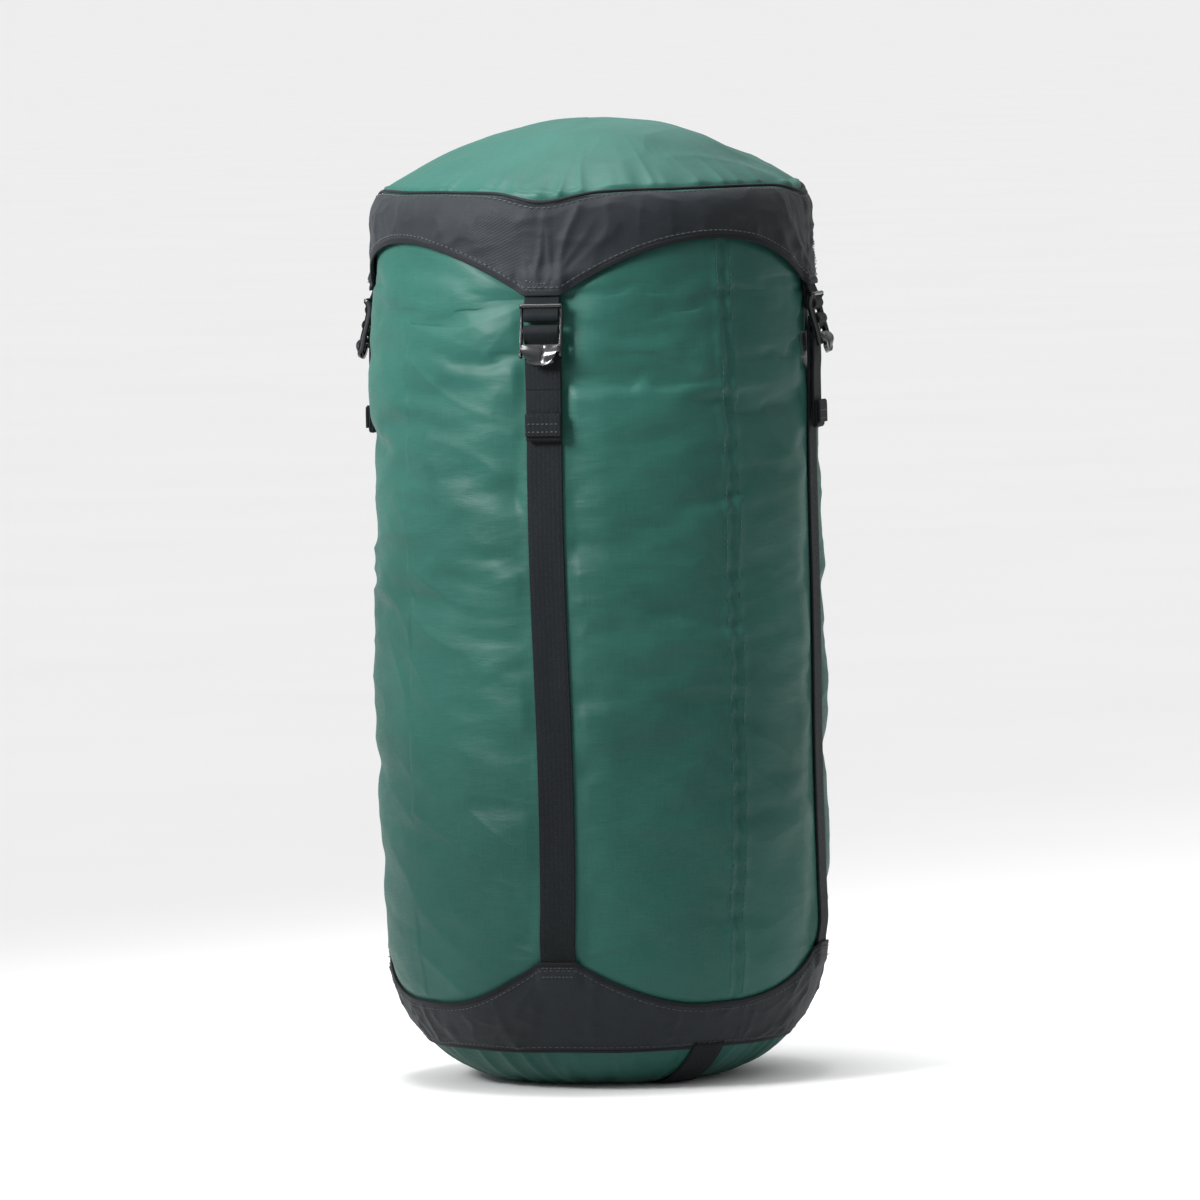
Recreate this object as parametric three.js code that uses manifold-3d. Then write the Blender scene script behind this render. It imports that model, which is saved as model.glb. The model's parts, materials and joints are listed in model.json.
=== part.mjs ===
// Stuffed compression sack: a round fabric bag standing on its base, a separate fabric lid over its
// gathered mouth, and four webbing straps that pull lid and base together through ladderlock buckles.
// Millimetres, +Z up, origin on the floor at the middle of the base, front strap towards -Y.
import * as THREE from 'three';
import { mergeVertices } from 'three/addons/utils/BufferGeometryUtils.js';
import Module from 'manifold-3d';

// ---- driving dimensions ----
const HEIGHT = 510;            // floor to the peak of the crown
const SIDE_R = 115;            // radius of the stuffed bag at its ends
const BULGE = 1.3;             // extra radius half way up
const FOOT_R = 46;             // flat part of the base
const CORNER_H = 72;           // height of the rounded bottom corner
const SHOULDER_Z = 446;        // where the side starts to turn in to the crown
const CROWN_R = 107;           // crown seam radius
const CROWN_Z = 473;           // crown seam height
const CLOTH = 1.6;             // thickness of every fabric solid
const GAP = 0.5;               // clearance between layers that lie on each other
const BUTT = 0.3;              // clearance between edges that meet
const WEB_W = 19;              // webbing width
const WEB_T = 1.5;             // webbing thickness
const STRAP_R = 117.4;         // inner face of the load straps
const BUCKLE_R = 119.6;        // radius of bar A, the bar held by the lid's tab and the tilt axis
const BAR_A_Z = 410;           // height of bar A
const BAR_B_DOWN = 8.5;        // from bar A down the buckle to bar B, which the strap turns over
const BAR_C_DOWN = 17;         // and to bar C, which pinches the tail
const THUMB_DOWN = 27;         // and to the end of the thumb tab
const TILT = 13 * Math.PI / 180;  // how far the buckle leans out from the strap below it
const BAR_R = 1.5;             // bar radius
const TAIL_END_Z = 345.5;      // bottom of the folded stop on the tail
const TIP_Z = 420.5;           // lowest point of the lid's fabric points
const LID_EDGE_Z = 448;        // lid edge between the points
const BASE_TIP_Z = 71;         // highest point of the base yoke
const BASE_EDGE_Z = 47;        // base yoke's upper edge between the points
const BASE_LOW_Z = 22;         // base yoke's lower edge
const TUBE_TOP_Z = 462;        // where the bag's tube passes under the lid into its gathered mouth
const LID_SPREAD = 82;         // how far a lid point flares to each side along the edge
const BASE_SPREAD = 72;        // how far a base point flares to each side
const LOOP_TURN = Math.PI * 1.25;  // pull loop's place, turned from the front strap
const MOUTH_R = 15;            // half width of the closed mouth's hole
const MOUTH_RISE = 20;         // from the tube's top up to the hole
const PANEL_T = 4.5;           // thickness of the base panel and of its wall inwards
const PANEL_EDGE = 3;          // height of the base panel's upper edge
const CHANNEL_T = 2.6;         // depth of the base panel's channel over the handle
const TUBE_WALL = 2;           // the tube's wall, with its seam allowance
const CORD_R = 1.5;            // drawcord radius
const CORD_APART = 2.2;        // each cord end's distance from the middle of the cord lock
const HEM_Z = TUBE_TOP_Z + BUTT + MOUTH_RISE + 4;  // middle of the mouth's hem
const PRESS = 2;               // the cord lock plunger's travel
const RAIL_W = 1.6;            // width of a buckle's side rail
const RAIL_GAP = 0.3;          // between a rail and the webbing's edge
const SIDES = ['front', 'right', 'back', 'left'];
const GREEN = 0x3c685d;
const BLACK_CLOTH = 0x3a3e44;
const WEBBING = 0x24272b;
const PLASTIC = 0x1c1e21;
const STEEL = 0x9a9da0;

const object = new THREE.Group();
const wasm = await Module();
wasm.setup();

const solidOf = (geometry) => {
  const bare = geometry.clone();
  bare.deleteAttribute('normal');
  bare.deleteAttribute('uv');
  const merged = mergeVertices(bare, 1e-4);
  const vertProperties = new Float32Array(merged.attributes.position.array);
  const triVerts = new Uint32Array(merged.index.array);
  return new wasm.Manifold(new wasm.Mesh({ numProp: 3, vertProperties, triVerts }));
};

const geometryOf = (solid) => {
  const mesh = solid.getMesh();
  const geometry = new THREE.BufferGeometry();
  geometry.setAttribute('position', new THREE.BufferAttribute(new Float32Array(mesh.vertProperties), 3));
  geometry.setIndex(new THREE.BufferAttribute(new Uint32Array(mesh.triVerts), 1));
  return geometry;
};

const add = (name, geometry, color, turn = 0, roughness = 0.7) => {
  const material = new THREE.MeshStandardMaterial({ color, roughness, metalness: 0 });
  const mesh = new THREE.Mesh(geometry, material);
  mesh.name = name;
  mesh.rotation.z = turn;
  object.add(mesh);
};

// ---- the stuffed bag's outer surface as radius and height along its outline ----
const ease = (t) => Math.min(Math.max(t, 0), 1);

const sideRadius = (z) => {
  if (z < CORNER_H) {
    const down = 1 - z / CORNER_H;
    return FOOT_R + (SIDE_R - FOOT_R) * Math.sqrt(Math.max(1 - down * down, 0));
  }
  if (z <= SHOULDER_Z) {
    return SIDE_R + BULGE * Math.sin(Math.PI * (z - CORNER_H) / (SHOULDER_Z - CORNER_H));
  }
  const up = ease((z - SHOULDER_Z) / (CROWN_Z + 4 - SHOULDER_Z));
  return CROWN_R - 8 + (SIDE_R - CROWN_R + 8) * Math.sqrt(Math.max(1 - up * up, 0));
};

const crownHeight = (r) => CROWN_Z + (HEIGHT - CROWN_Z) * (1 - (r / CROWN_R) ** 1.9);

// A closed skin between an outer and an inner surface, each given as a function of angle and of a
// fraction 0 to 1 from its lower edge to its upper edge, returning [radius, height].
const skin = (outer, inner, around, up) => {
  const positions = [];
  const index = [];
  for (const surface of [outer, inner]) {
    for (let i = 0; i < around; i += 1) {
      const angle = 2 * Math.PI * i / around;
      for (let j = 0; j <= up; j += 1) {
        const [r, z] = surface(angle, j / up);
        positions.push(r * Math.cos(angle), r * Math.sin(angle), z);
      }
    }
  }
  const at = (side, i, j) => (side * around + (i % around)) * (up + 1) + j;
  for (let i = 0; i < around; i += 1) {
    for (let j = 0; j < up; j += 1) {
      index.push(at(0, i, j), at(0, i + 1, j), at(0, i + 1, j + 1));
      index.push(at(0, i, j), at(0, i + 1, j + 1), at(0, i, j + 1));
      index.push(at(1, i, j), at(1, i + 1, j + 1), at(1, i + 1, j));
      index.push(at(1, i, j), at(1, i, j + 1), at(1, i + 1, j + 1));
    }
    index.push(at(0, i, up), at(0, i + 1, up), at(1, i + 1, up));
    index.push(at(0, i, up), at(1, i + 1, up), at(1, i, up));
    index.push(at(0, i, 0), at(1, i + 1, 0), at(0, i + 1, 0));
    index.push(at(0, i, 0), at(1, i, 0), at(1, i + 1, 0));
  }
  const geometry = new THREE.BufferGeometry();
  geometry.setAttribute('position', new THREE.BufferAttribute(new Float32Array(positions), 3));
  geometry.setIndex(index);
  return geometry;
};

// A turned solid: an outline of [radius, height] pairs, from the axis or closed on itself.
const turned = (outline, around = 48) => {
  const points = outline.map(([r, z]) => new THREE.Vector2(r, z));
  const geometry = new THREE.LatheGeometry(points, around);
  geometry.rotateX(Math.PI / 2);
  return geometry;
};

// A strip of webbing: a centre line of [outwards, height] pairs given thickness and width. It is made
// at the front, where outwards is -Y, and centred on x = shift.
const strip = (line, thickness, width, shift = 0) => {
  const left = [];
  const right = [];
  line.forEach(([out, z], i) => {
    const before = line[Math.max(i - 1, 0)];
    const after = line[Math.min(i + 1, line.length - 1)];
    const along = new THREE.Vector2(after[0] - before[0], after[1] - before[1]).normalize();
    left.push(new THREE.Vector2(out - along.y * thickness / 2, z + along.x * thickness / 2));
    right.push(new THREE.Vector2(out + along.y * thickness / 2, z - along.x * thickness / 2));
  });
  const shape = new THREE.Shape([...left, ...right.reverse()]);
  const geometry = new THREE.ExtrudeGeometry(shape, { depth: width, bevelEnabled: false });
  // extrude axes (out, up, width) become (-Y, +Z, -X)
  const place = new THREE.Matrix4().makeBasis(
    new THREE.Vector3(0, -1, 0), new THREE.Vector3(0, 0, 1), new THREE.Vector3(-1, 0, 0));
  geometry.applyMatrix4(place);
  geometry.translate(width / 2 + shift, 0, 0);
  return geometry;
};

const arcPoints = (centre, radius, from, to, steps) => {
  const points = [];
  for (let i = 0; i <= steps; i += 1) {
    const a = from + (to - from) * i / steps;
    points.push([centre[0] + radius * Math.cos(a), centre[1] + radius * Math.sin(a)]);
  }
  return points;
};

// How far a yoke's edge reaches into its point, 1 at a strap and 0 between straps.
const pointShape = (angle, spread) => {
  const quarter = Math.PI / 2;
  const away = Math.abs(angle - Math.round(angle / quarter) * quarter) * SIDE_R;
  return (1 - ease((away - WEB_W / 2) / spread)) ** 2;
};

// ---- base panel, with a shallow channel under which the handle lies ----
{
  const steps = 6;
  const inner = [];
  const outer = [[0, 0]];
  for (let i = 0; i <= steps; i += 1) {
    const z = BASE_LOW_Z * (i / steps) ** 2;
    outer.push([sideRadius(z), z]);
  }
  for (let i = steps; i >= 0; i -= 1) {
    const z = BASE_LOW_Z * (i / steps) ** 2;
    inner.push([sideRadius(z) - PANEL_T, Math.max(z + (i === steps ? 0 : PANEL_EDGE), PANEL_T)]);
  }
  inner.push([0, PANEL_T]);
  const dish = solidOf(turned([...outer, ...inner], 48));
  const reach = FOOT_R + 24;
  const channel = new THREE.BoxGeometry(2 * reach, WEB_W + 5, 2 * CHANNEL_T);
  channel.rotateZ(-Math.PI / 4);
  add('base_panel', geometryOf(dish.subtract(solidOf(channel))), GREEN);
}

// ---- bottom handle: webbing across the base from edge to edge, between the front and right points ----
{
  const floor = 0.35 + WEB_T / 2;          // the handle clears the floor by 0.35
  const stand = GAP + 0.1 + WEB_T / 2;     // and the panel by a little more than other layers
  const half = [[FOOT_R + 6, floor]];
  const cornerTurns = [0.22, 0.34, 0.48, 0.61, 0.74];
  for (const turn of cornerTurns) {
    const r = FOOT_R + (SIDE_R - FOOT_R) * Math.sin(turn);
    const z = CORNER_H * (1 - Math.cos(turn));
    half.push([r + stand * Math.sin(turn), Math.max(z - stand * Math.cos(turn), floor)]);
  }
  const line = [...half.map(([r, z]) => [-r, z]).reverse(), ...half];
  const webbing = strip(line, WEB_T, WEB_W);
  add('bottom_handle', webbing, WEBBING, Math.PI / 4);
}

// ---- base yoke: a ring round the bottom with a point up at each strap ----
{
  const at = (offset) => (angle, f) => {
    const top = BASE_EDGE_Z + (BASE_TIP_Z - BASE_EDGE_Z) * pointShape(angle, BASE_SPREAD);
    const z = BASE_LOW_Z + (top - BASE_LOW_Z) * f;
    return [sideRadius(z) + offset, z];
  };
  add('base_yoke', skin(at(GAP + CLOTH), at(GAP), 64, 5), BLACK_CLOTH);
}

// ---- the bag's tube: a hollow wall from the base panel's edge to just under the lid ----
{
  const low = BASE_LOW_Z + BUTT + PANEL_EDGE;
  const at = (inset) => (angle, f) => {
    const z = low + (TUBE_TOP_Z - low) * (1 - Math.cos(Math.PI * f)) / 2;
    return [sideRadius(z) - inset, z];
  };
  add('body_tube', skin(at(0), at(TUBE_WALL), 64, 10), GREEN);
}

// ---- gathered mouth: the tube's top turns in under the lid and closes to a small hole ----
{
  const low = TUBE_TOP_Z + BUTT;
  const turnR = 100;
  const turnWide = 10.6;
  const turnHigh = 5;
  const outline = (inset) => {
    const points = [];
    for (let i = 0; i <= 3; i += 1) {
      const a = Math.PI / 2 * i / 3;
      points.push([turnR + (turnWide - inset) * Math.cos(a), low + (turnHigh - inset) * Math.sin(a)]);
    }
    points.push([MOUTH_R + 1.5, low + MOUTH_RISE - inset]);
    return points;
  };
  const wall = outline(0);
  const lining = outline(CLOTH).reverse();
  add('gathered_mouth', turned([...wall, ...lining, wall[0]], 48), GREEN);
}

// ---- hem channel round the hole, open on its inner side, and the drawcord inside it ----
{
  const half = 3.5;
  const deep = 8;
  const wall = 1.2;
  const back = MOUTH_R + deep;
  const hem = [
    [MOUTH_R, HEM_Z - half], [back, HEM_Z - half], [back, HEM_Z + half], [MOUTH_R, HEM_Z + half],
    [MOUTH_R, HEM_Z + half - wall], [back - wall, HEM_Z + half - wall],
    [back - wall, HEM_Z - half + wall], [MOUTH_R, HEM_Z - half + wall], [MOUTH_R, HEM_Z - half]];
  add('mouth_hem', turned(hem, 32), BLACK_CLOTH);
}
{
  // one loop round the hem whose two ends pass side by side through the cord lock across the mouth
  const route = [];
  const loopR = MOUTH_R + 4;
  const turnIn = 0.42;           // angle from the cord lock's line at which the cord leaves the hem
  for (const y of [10, 4, -2, -8, -13]) {
    route.push(new THREE.Vector3(-CORD_APART, y, HEM_Z));
  }
  for (let i = 0; i <= 20; i += 1) {
    const a = -Math.PI / 2 - turnIn - (2 * Math.PI - 2 * turnIn) * i / 20;
    route.push(new THREE.Vector3(loopR * Math.cos(a), loopR * Math.sin(a), HEM_Z));
  }
  for (const y of [-13, -8, -2, 4, 10]) {
    route.push(new THREE.Vector3(CORD_APART, y, HEM_Z));
  }
  const section = new THREE.Shape();
  section.absarc(0, 0, CORD_R, 0, 2 * Math.PI, false);
  const cord = new THREE.ExtrudeGeometry(section, {
    extrudePath: new THREE.CatmullRomCurve3(route), steps: 56, curveSegments: 5, bevelEnabled: false });
  add('drawcord', cord, WEBBING);
}

// ---- cord lock across the mouth: a cross-drilled barrel, its spring and the plunger pressed into it ----
const BARREL = { r: 6.5, low: HEM_Z - 9, high: HEM_Z + 6, bore: 4.9, floor: 1.2 };
const STEM_R = 4.6;
const CAP = { r: 5.6, high: 2 };
const CORD_PLAY = 0.4;         // above and below the cord in the plunger's hole
{
  const cup = turned([
    [0, BARREL.low], [BARREL.r, BARREL.low], [BARREL.r, BARREL.high],
    [BARREL.bore, BARREL.high], [BARREL.bore, BARREL.low + BARREL.floor],
    [0, BARREL.low + BARREL.floor]], 24);
  const holeHigh = 2 * (CORD_R + 0.6);
  const hole = new THREE.BoxGeometry(2 * (CORD_APART + CORD_R) + 1.6, 30, holeHigh);
  hole.translate(0, 0, HEM_Z);
  add('cord_lock_barrel', geometryOf(solidOf(cup).subtract(solidOf(hole))), PLASTIC);

  const wireR = 0.25;
  const coils = 1.5;
  const coilR = 3.6;
  const coilHigh = 1.6;
  const springLow = BARREL.low + BARREL.floor + wireR + 0.1;
  const points = 24;
  const springCurve = [];
  for (let i = 0; i <= points; i += 1) {
    const a = 2 * Math.PI * coils * i / points;
    const z = springLow + coilHigh * i / points;
    springCurve.push(new THREE.Vector3(coilR * Math.cos(a), coilR * Math.sin(a), z));
  }
  const wire = new THREE.Shape();
  wire.absarc(0, 0, wireR, 0, 2 * Math.PI, false);
  const extrudePath = new THREE.CatmullRomCurve3(springCurve);
  const spring = new THREE.ExtrudeGeometry(wire, {
    extrudePath, steps: 30, curveSegments: 2, bevelEnabled: false });
  add('cord_lock_spring', spring, STEEL);

  // the plunger's own cross hole is taller than the cord by the travel, so pressing it frees the cord
  const slotLow = HEM_Z - CORD_R - CORD_PLAY;
  const slotHigh = HEM_Z + CORD_R + CORD_PLAY + PRESS;
  const stemLow = slotLow - 1.2;
  const capLow = BARREL.high + PRESS + GAP;
  const capHigh = capLow + CAP.high;
  const stem = turned([
    [0, stemLow], [STEM_R, stemLow], [STEM_R, capLow], [CAP.r, capLow], [CAP.r, capHigh], [0, capHigh]], 24);
  const slot = new THREE.BoxGeometry(2 * (CORD_APART + CORD_R) + 0.6, 30, slotHigh - slotLow);
  slot.translate(0, 0, (slotHigh + slotLow) / 2);
  add('cord_lock_plunger', geometryOf(solidOf(stem).subtract(solidOf(slot))), PLASTIC);
}

// ---- lid crown: a domed round panel ----
{
  const edge = CROWN_R - BUTT;
  const top = [];
  const under = [];
  const rings = 6;
  for (let i = 0; i <= rings; i += 1) {
    const r = edge * i / rings;
    top.push([r, crownHeight(r)]);
    under.push([r, crownHeight(r) - CLOTH]);
  }
  add('lid_crown', turned([...under, ...top.reverse()], 48), GREEN);
}

// ---- lid yoke: ring from the crown seam over the shoulder, with a point down at each strap ----
{
  const shoulder = SHOULDER_Z + 12;
  const ringR = SIDE_R + 0.5;
  const at = (offset) => (angle, f) => {
    const low = LID_EDGE_Z + (TIP_Z - LID_EDGE_Z) * pointShape(angle, LID_SPREAD);
    if (f <= 0.5) {
      return [ringR + offset, low + (shoulder - low) * f / 0.5];
    }
    const a = Math.PI / 2 * (f - 0.5) / 0.5;
    const wide = ringR + offset - CROWN_R - BUTT;
    const high = CROWN_Z - CLOTH + offset - shoulder;
    return [CROWN_R + BUTT + wide * Math.cos(a), shoulder + high * Math.sin(a)];
  };
  add('lid_yoke', skin(at(GAP + CLOTH), at(GAP), 64, 6), BLACK_CLOTH);
}

// ---- lid pull loop: folded tape standing up at the crown seam, between the back and left points ----
{
  const [seamR, seamZ] = [CROWN_R + 1, CROWN_Z + 1.4];
  const tape = { thick: 0.9, wide: 10 };
  const bendR = 2.6;
  const loop = [
    [seamR - 1.2, seamZ], [seamR - bendR, seamZ + 5],
    ...arcPoints([seamR, seamZ + 7], bendR, Math.PI, 0, 6),
    [seamR + bendR, seamZ + 5], [seamR + 1.2, seamZ]];
  add('lid_pull_loop', strip(loop, tape.thick, tape.wide), WEBBING, LOOP_TURN);
}

// ---- one set of strap hardware for each side ----
// A place on the tilted buckle: out from its plane and down from bar A, as [outwards, height].
const onBuckle = (out, down) => [
  BUCKLE_R + out * Math.cos(TILT) + down * Math.sin(TILT),
  BAR_A_Z + out * Math.sin(TILT) - down * Math.cos(TILT)];

SIDES.forEach((side, k) => {
  const turn = k * Math.PI / 2;
  const mid = WEB_T / 2;
  const wrapR = BAR_R + BUTT + mid;

  // the lid's tab: a loop of webbing from the lid's point round bar A
  const tabTop = TIP_Z - BUTT - 0.2;
  const tab = [
    [BUCKLE_R - wrapR, tabTop], [BUCKLE_R - wrapR, BAR_A_Z + 4],
    ...arcPoints([BUCKLE_R, BAR_A_Z], wrapR, Math.PI, 2 * Math.PI + 0.3, 8),
    [BUCKLE_R - wrapR + WEB_T + 0.6, BAR_A_Z + 8.5], [BUCKLE_R - wrapR + WEB_T + BUTT, tabTop]];
  add(`lid_tab_${side}`, strip(tab, WEB_T, WEB_W), WEBBING, turn);

  // the buckle: two rails, three bars and a thumb tab
  const railX = WEB_W / 2 + RAIL_GAP + RAIL_W / 2;
  let buckle = null;
  const join = (geometry) => {
    const solid = solidOf(geometry);
    buckle = buckle ? buckle.add(solid) : solid;
  };
  for (const x of [-railX, railX]) {
    const rail = [onBuckle(0, -2.2), onBuckle(0.2, BAR_B_DOWN), onBuckle(0.3, BAR_C_DOWN + 2.5)];
    join(strip(rail, 3.6, RAIL_W, x));
  }
  for (const down of [0, BAR_B_DOWN, BAR_C_DOWN]) {
    const [out, z] = onBuckle(0, down);
    const bar = new THREE.CylinderGeometry(BAR_R, BAR_R, 2 * railX, 12);
    bar.rotateZ(Math.PI / 2);
    bar.translate(0, -out, z);
    join(bar);
  }
  const thumb = [
    onBuckle(0.5, BAR_C_DOWN - 0.6), onBuckle(0.9, BAR_C_DOWN + 4.5), onBuckle(2.2, THUMB_DOWN)];
  join(strip(thumb, 2.2, 2 * railX));
  add(`ladderlock_${side}`, geometryOf(buckle), PLASTIC, turn, 0.3);

  // the strap: load run on the bag, wrap through the buckle, tail and the folded stop at its end
  const loadR = STRAP_R + mid;
  const [barBOut, barBZ] = onBuckle(0, BAR_B_DOWN);
  const [barCOut, barCZ] = onBuckle(0, BAR_C_DOWN);
  const loadTop = barCZ - 7;
  const tailR = loadR + WEB_T + BUTT;
  const load = [[loadR, BASE_TIP_Z + BUTT + 0.2], [loadR, loadTop]];
  add(`strap_${side}`, strip(load, WEB_T, WEB_W), WEBBING, turn);
  const wrap = [
    [loadR, loadTop + BUTT], [loadR + 0.1, barCZ],
    ...arcPoints([barBOut, barBZ], wrapR, Math.PI, -0.25, 10),
    [barBOut + 1.2, barBZ - 3], [barCOut - wrapR - 0.3, barCZ + 1.5], [barCOut - wrapR - 0.2, barCZ - 2]];
  add(`strap_wrap_${side}`, strip(wrap, WEB_T, WEB_W), WEBBING, turn);
  const foldZ = TAIL_END_Z + 13;
  const tail = [[barCOut - wrapR - 0.2, barCZ - 2 - BUTT], [tailR + 0.5, barCZ - 12], [tailR, barCZ - 18],
    [tailR, foldZ + BUTT]];
  add(`strap_tail_${side}`, strip(tail, WEB_T, WEB_W), WEBBING, turn);
  const stop = new THREE.BoxGeometry(WEB_W, 3 * WEB_T, foldZ - TAIL_END_Z);
  stop.translate(0, -(tailR - mid + 1.5 * WEB_T), (foldZ + TAIL_END_Z) / 2);
  add(`strap_stop_${side}`, stop, WEBBING, turn);
});

export default object;
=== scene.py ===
import json
import math

import bmesh
import bpy
import numpy as np
from mathutils import Matrix, Vector, noise


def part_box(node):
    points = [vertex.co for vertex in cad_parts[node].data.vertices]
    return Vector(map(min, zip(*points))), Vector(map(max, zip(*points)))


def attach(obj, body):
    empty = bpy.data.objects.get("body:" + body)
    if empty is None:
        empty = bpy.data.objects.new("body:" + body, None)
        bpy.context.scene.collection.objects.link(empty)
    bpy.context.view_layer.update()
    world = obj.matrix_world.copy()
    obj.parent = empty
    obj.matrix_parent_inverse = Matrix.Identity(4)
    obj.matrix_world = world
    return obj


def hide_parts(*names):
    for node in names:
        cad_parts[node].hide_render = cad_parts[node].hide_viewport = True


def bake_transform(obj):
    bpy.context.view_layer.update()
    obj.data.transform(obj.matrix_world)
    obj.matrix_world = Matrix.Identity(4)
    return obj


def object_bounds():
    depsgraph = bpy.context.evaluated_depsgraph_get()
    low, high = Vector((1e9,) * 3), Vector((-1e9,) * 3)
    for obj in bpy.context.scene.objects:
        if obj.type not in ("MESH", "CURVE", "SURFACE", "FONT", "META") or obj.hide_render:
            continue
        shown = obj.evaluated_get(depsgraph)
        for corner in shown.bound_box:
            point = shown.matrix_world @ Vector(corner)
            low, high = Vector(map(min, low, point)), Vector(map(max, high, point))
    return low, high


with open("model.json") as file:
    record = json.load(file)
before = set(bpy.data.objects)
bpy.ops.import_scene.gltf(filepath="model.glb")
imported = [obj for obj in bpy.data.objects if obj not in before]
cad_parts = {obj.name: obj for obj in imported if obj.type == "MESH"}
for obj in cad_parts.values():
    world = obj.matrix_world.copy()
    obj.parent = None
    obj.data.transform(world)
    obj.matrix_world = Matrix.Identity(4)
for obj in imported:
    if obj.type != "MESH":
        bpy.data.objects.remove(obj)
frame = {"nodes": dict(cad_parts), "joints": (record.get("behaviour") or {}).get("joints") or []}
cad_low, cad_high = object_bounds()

# ---------------- sizes, in metres, from the frame
SIDES = ("front", "right", "back", "left")
HEIGHT = cad_high.z  # peak of the crown
TUBE_TOP_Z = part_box("body_tube")[1].z - 0.0005
CORNER_H = 0.072  # height of the rounded bottom corner
FOOT_R = 0.046  # flat part of the base
SIDE_R = 0.115  # radius of the stuffed bag at its ends
BULGE = 0.0013  # extra radius half way up
SHOULDER_Z = 0.446  # where the side starts to turn in
CROWN_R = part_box("lid_crown")[1].x + 0.0003  # radius of the crown's seam
CROWN_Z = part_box("lid_crown")[0].z + 0.0016  # height of the crown's seam
LID_TIP_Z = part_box("lid_yoke")[0].z  # lowest point of the lid's fabric points
LID_EDGE_Z = 0.448  # lid's edge half way between its points
LID_SPREAD, BASE_SPREAD = 0.082, 0.072  # how far a point flares to each side
BASE_TIP_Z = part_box("base_yoke")[1].z  # highest point of the base yoke
BASE_EDGE_Z = 0.047
BASE_LOW_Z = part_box("base_yoke")[0].z
WEB_W = 0.019  # webbing width
WEB_T = 0.0015  # webbing thickness
RAIL_W = 0.0016  # width of a buckle's side rail
RAIL_GAP = 0.0003  # between a rail and the webbing's edge
STRAP_IN = -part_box("strap_front")[1].y  # radius of the load strap's inner face
STRAP_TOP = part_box("strap_front")[1].z
STOP_LOW, STOP_HIGH = (corner.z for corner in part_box("strap_stop_front"))
HINGES = {j["child"]: Vector(j["pos_m"]) for j in frame["joints"] if j["name"].startswith("buckle_tilt")}
BAR_R = 0.0015  # buckle bar radius
BAR_A = Vector((0.0, HINGES["buckle_front"].y, HINGES["buckle_front"].z))
BAR_B_DOWN = 0.0085  # bar spacings down the buckle
BAR_C_DOWN = 0.017
THUMB_DOWN = 0.027
TILT = math.radians(13)  # the buckle's lean away from the strap
GIRTH = 2 * math.pi * SIDE_R  # round the stuffed bag
CLOTH_IN = 0.0004  # the tube's cloth lies this far inside the outline
CLOTH_T, YOKE_T = 0.0005, 0.0009  # thickness of the green cloth and of the black
WRAP_GAP = 0.0005  # between a buckle's bar and the webbing round it
PLEATS = 26  # round the gathered mouth
# pitch, length and thread radius of each kind of stitching
SEAM_STITCH = (0.0032, 0.0024, 0.00018)
EDGE_STITCH = (0.0032, 0.0023, 0.00024)
TACK_STITCH = (0.0019, 0.0015, 0.00026)
STOP_STITCH = (0.0022, 0.0017, 0.00026)
QUARTER = math.pi / 2
FRONT = -QUARTER  # polar angle of the front strap
SEAM_ANGLE = FRONT + math.radians(49)  # the bag's side seam


# ---------------- small helpers
def smooth(t):
    t = np.clip(t, 0, 1)
    return t * t * (3 - 2 * t)


def angles_round(count):
    return np.arange(count) * 2 * math.pi / count


def polar(radius, angle, z):
    """Points from their distance from the axis, polar angle and height."""
    return np.stack([radius * np.cos(angle), radius * np.sin(angle), z], -1)


def run_along(points):
    """Distance along a line at each of its points."""
    return np.concatenate([[0], np.cumsum(np.linalg.norm(np.diff(points, axis=0), axis=1))])


def spline(p0, p1, p2, p3, t):
    """Catmull-Rom curve through four values, from p1 at 0 to p2 at 1."""
    return 0.5 * (2 * p1 + (p2 - p0) * t + (2 * p0 - 5 * p1 + 4 * p2 - p3) * t ** 2
                  + (3 * p1 - p0 - 3 * p2 + p3) * t ** 3)


def oval(wide, high, count=20):
    return [(wide * math.cos(a), high * math.sin(a)) for a in np.linspace(0, 2 * math.pi, count + 1)[:-1]]


def side_radius(z):
    """Radius of the stuffed bag's outside at a height."""
    z = np.asarray(z, float)
    down = np.clip(1 - z / CORNER_H, 0, 1)
    corner = FOOT_R + (SIDE_R - FOOT_R) * np.sqrt(1 - down * down)
    body = SIDE_R + BULGE * np.sin(math.pi * np.clip((z - CORNER_H) / (SHOULDER_Z - CORNER_H), 0, 1))
    up = np.clip((z - SHOULDER_Z) / (CROWN_Z + 0.004 - SHOULDER_Z), 0, 1)
    top = CROWN_R - 0.008 + (SIDE_R - CROWN_R + 0.008) * np.sqrt(1 - up * up)
    return np.where(z < CORNER_H, corner, np.where(z <= SHOULDER_Z, body, top))


def from_strap(angle):
    """Signed distance round the bag from the nearest strap, at each polar angle."""
    turn = angle - FRONT
    return (turn - np.round(turn / QUARTER) * QUARTER) * SIDE_R


def point_shape(angle, spread):
    """How far a yoke's edge reaches into its point: 1 at a strap, 0 between straps."""
    away = np.abs(from_strap(angle))
    return (1 - np.clip((away - WEB_W / 2) / spread, 0, 1)) ** 2


def lid_edge(angle):
    return LID_EDGE_Z + (LID_TIP_Z - LID_EDGE_Z) * point_shape(angle, LID_SPREAD)


def base_edge(angle):
    return BASE_EDGE_Z + (BASE_TIP_Z - BASE_EDGE_Z) * point_shape(angle, BASE_SPREAD)


def noise3(points, scale, seed=0.0):
    """Smooth noise in -1..1 at rows of points, each first divided by scale (one number or three)."""
    scaled = points / np.asarray(scale, float) + seed
    return np.array([noise.noise(Vector(p)) for p in scaled.reshape(-1, 3)]).reshape(points.shape[:-1])


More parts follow.
